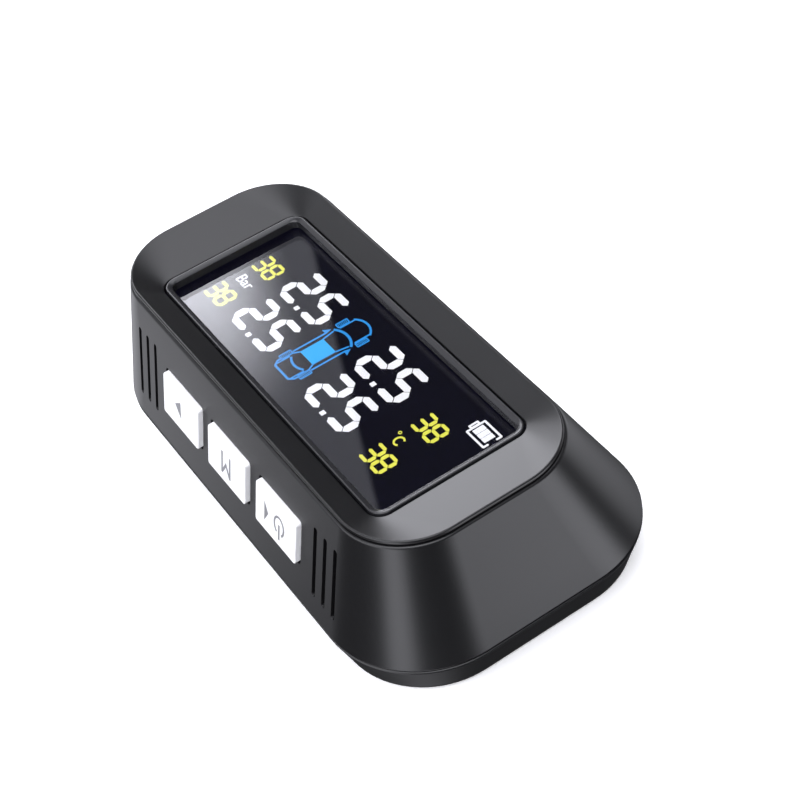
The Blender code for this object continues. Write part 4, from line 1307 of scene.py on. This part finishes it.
class DISPLAY_OT_studio(bpy.types.Operator):
    """Set the camera, the pale floor and the soft light around the unit"""
    bl_idname = "display.studio"
    bl_label = "Studio"

    def execute(self, context):
        studio = settings()[4]
        self.camera(context, studio)
        self.floor(studio)
        self.light(context)
        context.scene.view_settings.view_transform = "Standard"
        return {"FINISHED"}

    def camera(self, context, studio):
        place = Vector(studio.camera_place)
        back = (place - Vector(studio.camera_aim)).normalized()
        bpy.ops.object.camera_add(location=place)
        camera = context.object
        camera.name = "studio_camera"
        turn = back.to_track_quat("Z", "Y").to_matrix().to_4x4()
        roll = Matrix.Rotation(studio.camera_roll, 4, "Z")
        camera.matrix_world = Matrix.Translation(place) @ turn @ roll
        camera.data.lens = studio.camera_lens
        camera.data.sensor_width = 36.0
        camera.data.clip_start = 0.01
        camera.data.clip_end = 20.0
        context.scene.camera = camera

    def floor(self, studio):
        bpy.ops.mesh.primitive_plane_add(size=studio.floor_size, location=(0.0, 0.0, CAD_LOW.z))
        floor = bpy.context.object
        floor.name = "studio_floor"
        white = moulded("floor_white", tuple(studio.floor), 0.9, variation=0.01, grain=40.0,
                        depth=0.0, specular=0.0)
        shader = white.node_tree.nodes["Principled BSDF"]
        shader.inputs["Emission Color"].default_value = (1.0, 1.0, 1.0, 1.0)
        shader.inputs["Emission Strength"].default_value = studio.floor_lift
        floor.data.materials.append(white)
        floor.visible_glossy = False
        floor.visible_diffuse = False
        floor.visible_shadow = False

    def light(self, context):
        world = bpy.data.worlds.new("studio_light")
        context.scene.world = world
        world.use_nodes = True
        tree = world.node_tree
        background = tree.nodes["Background"]
        direction = tree.nodes.new("ShaderNodeTexCoord").outputs["Generated"]
        height = tree.nodes.new("ShaderNodeSeparateXYZ")
        tree.links.new(direction, height.inputs["Vector"])
        elevation = maths(tree, "ARCSINE", height.outputs["Z"])
        total = AMBIENT
        for box in SOFTBOXES:
            total = maths(tree, "ADD", softbox(tree, direction, elevation, *box), total)
        tree.links.new(total, background.inputs["Strength"])
        background.inputs["Color"].default_value = (0.93, 0.936, 1.0, 1.0)


def maths(tree, operation, first, second=0.0):
    node = tree.nodes.new("ShaderNodeMath")
    node.operation = operation
    for socket, value in zip(node.inputs, (first, second)):
        if isinstance(value, (int, float)):
            socket.default_value = value
        else:
            tree.links.new(value, socket)
    return node.outputs["Value"]


def softbox(tree, direction, elevation, turn, rise, wide, high, side_edge, top_edge, strength):
    """A soft patch of light; all angles are in degrees."""
    turn = math.radians(turn)
    parts = []
    for axis in ((-math.sin(turn), math.cos(turn), 0.0), (math.cos(turn), math.sin(turn), 0.0)):
        dot = tree.nodes.new("ShaderNodeVectorMath")
        dot.operation = "DOT_PRODUCT"
        tree.links.new(direction, dot.inputs[0])
        dot.inputs[1].default_value = axis
        parts.append(dot.outputs["Value"])
    across = maths(tree, "ARCTAN2", *parts)
    along = maths(tree, "SUBTRACT", elevation, math.radians(rise))
    masks = [fade(tree, maths(tree, "ABSOLUTE", angle), math.radians(half + edge / 2),
                  math.radians(half - edge / 2))
             for angle, half, edge in ((across, wide, side_edge), (along, high, top_edge))]
    return maths(tree, "MULTIPLY", maths(tree, "MULTIPLY", *masks), strength)


def fade(tree, value, low, high):
    """Smooth step from 0 at low to 1 at high."""
    node = tree.nodes.new("ShaderNodeMapRange")
    node.interpolation_type = "SMOOTHSTEP"
    node.inputs["From Min"].default_value = low
    node.inputs["From Max"].default_value = high
    tree.links.new(value, node.inputs["Value"])
    return node.outputs["Result"]


# Add-on ---------------------------------------------------------------------------------
class DISPLAY_PT_panel(bpy.types.Panel):
    """Buttons and sizes of the tyre pressure display"""
    bl_idname = "DISPLAY_PT_panel"
    bl_label = "Tyre Pressure Display"
    bl_space_type = "VIEW_3D"
    bl_region_type = "UI"
    bl_category = "Display"

    def draw(self, context):
        for operator in OPERATORS:
            self.layout.operator(operator.bl_idname)
        for name, _ in GROUPS:
            group = getattr(context.scene, name)
            box = self.layout.box()
            for key in group.bl_rna.properties.keys():
                if key not in ("rna_type", "name"):
                    box.prop(group, key)


GROUPS = (
    ("display_case", CaseSettings),
    ("display_buttons", ButtonSettings),
    ("display_fittings", FittingSettings),
    ("display_screen", ScreenSettings),
    ("display_studio", StudioSettings),
)
OPERATORS = (
    DISPLAY_OT_front_bezel,
    DISPLAY_OT_window_trim,
    DISPLAY_OT_housing,
    DISPLAY_OT_back_cover,
    DISPLAY_OT_back_fittings,
    DISPLAY_OT_charging_socket,
    DISPLAY_OT_buttons,
    DISPLAY_OT_button_marks,
    DISPLAY_OT_lens,
    DISPLAY_OT_pressure_digits,
    DISPLAY_OT_temperature_digits,
    DISPLAY_OT_screen_marks,
    DISPLAY_OT_car_mark,
    DISPLAY_OT_inner_parts,
    DISPLAY_OT_studio,
)


def register():
    for name, group in GROUPS:
        bpy.utils.register_class(group)
        setattr(bpy.types.Scene, name, bpy.props.PointerProperty(type=group))
    for item in (*OPERATORS, DISPLAY_PT_panel):
        bpy.utils.register_class(item)


def unregister():
    for item in (DISPLAY_PT_panel, *reversed(OPERATORS)):
        bpy.utils.unregister_class(item)
    for name, group in reversed(GROUPS):
        delattr(bpy.types.Scene, name)
        bpy.utils.unregister_class(group)


def main():
    register()
    make_materials()
    bpy.ops.object.select_all(action="DESELECT")
    for operator in OPERATORS:
        group, name = operator.bl_idname.split(".")
        getattr(getattr(bpy.ops, group), name)()


if __name__ == "__main__":
    main()
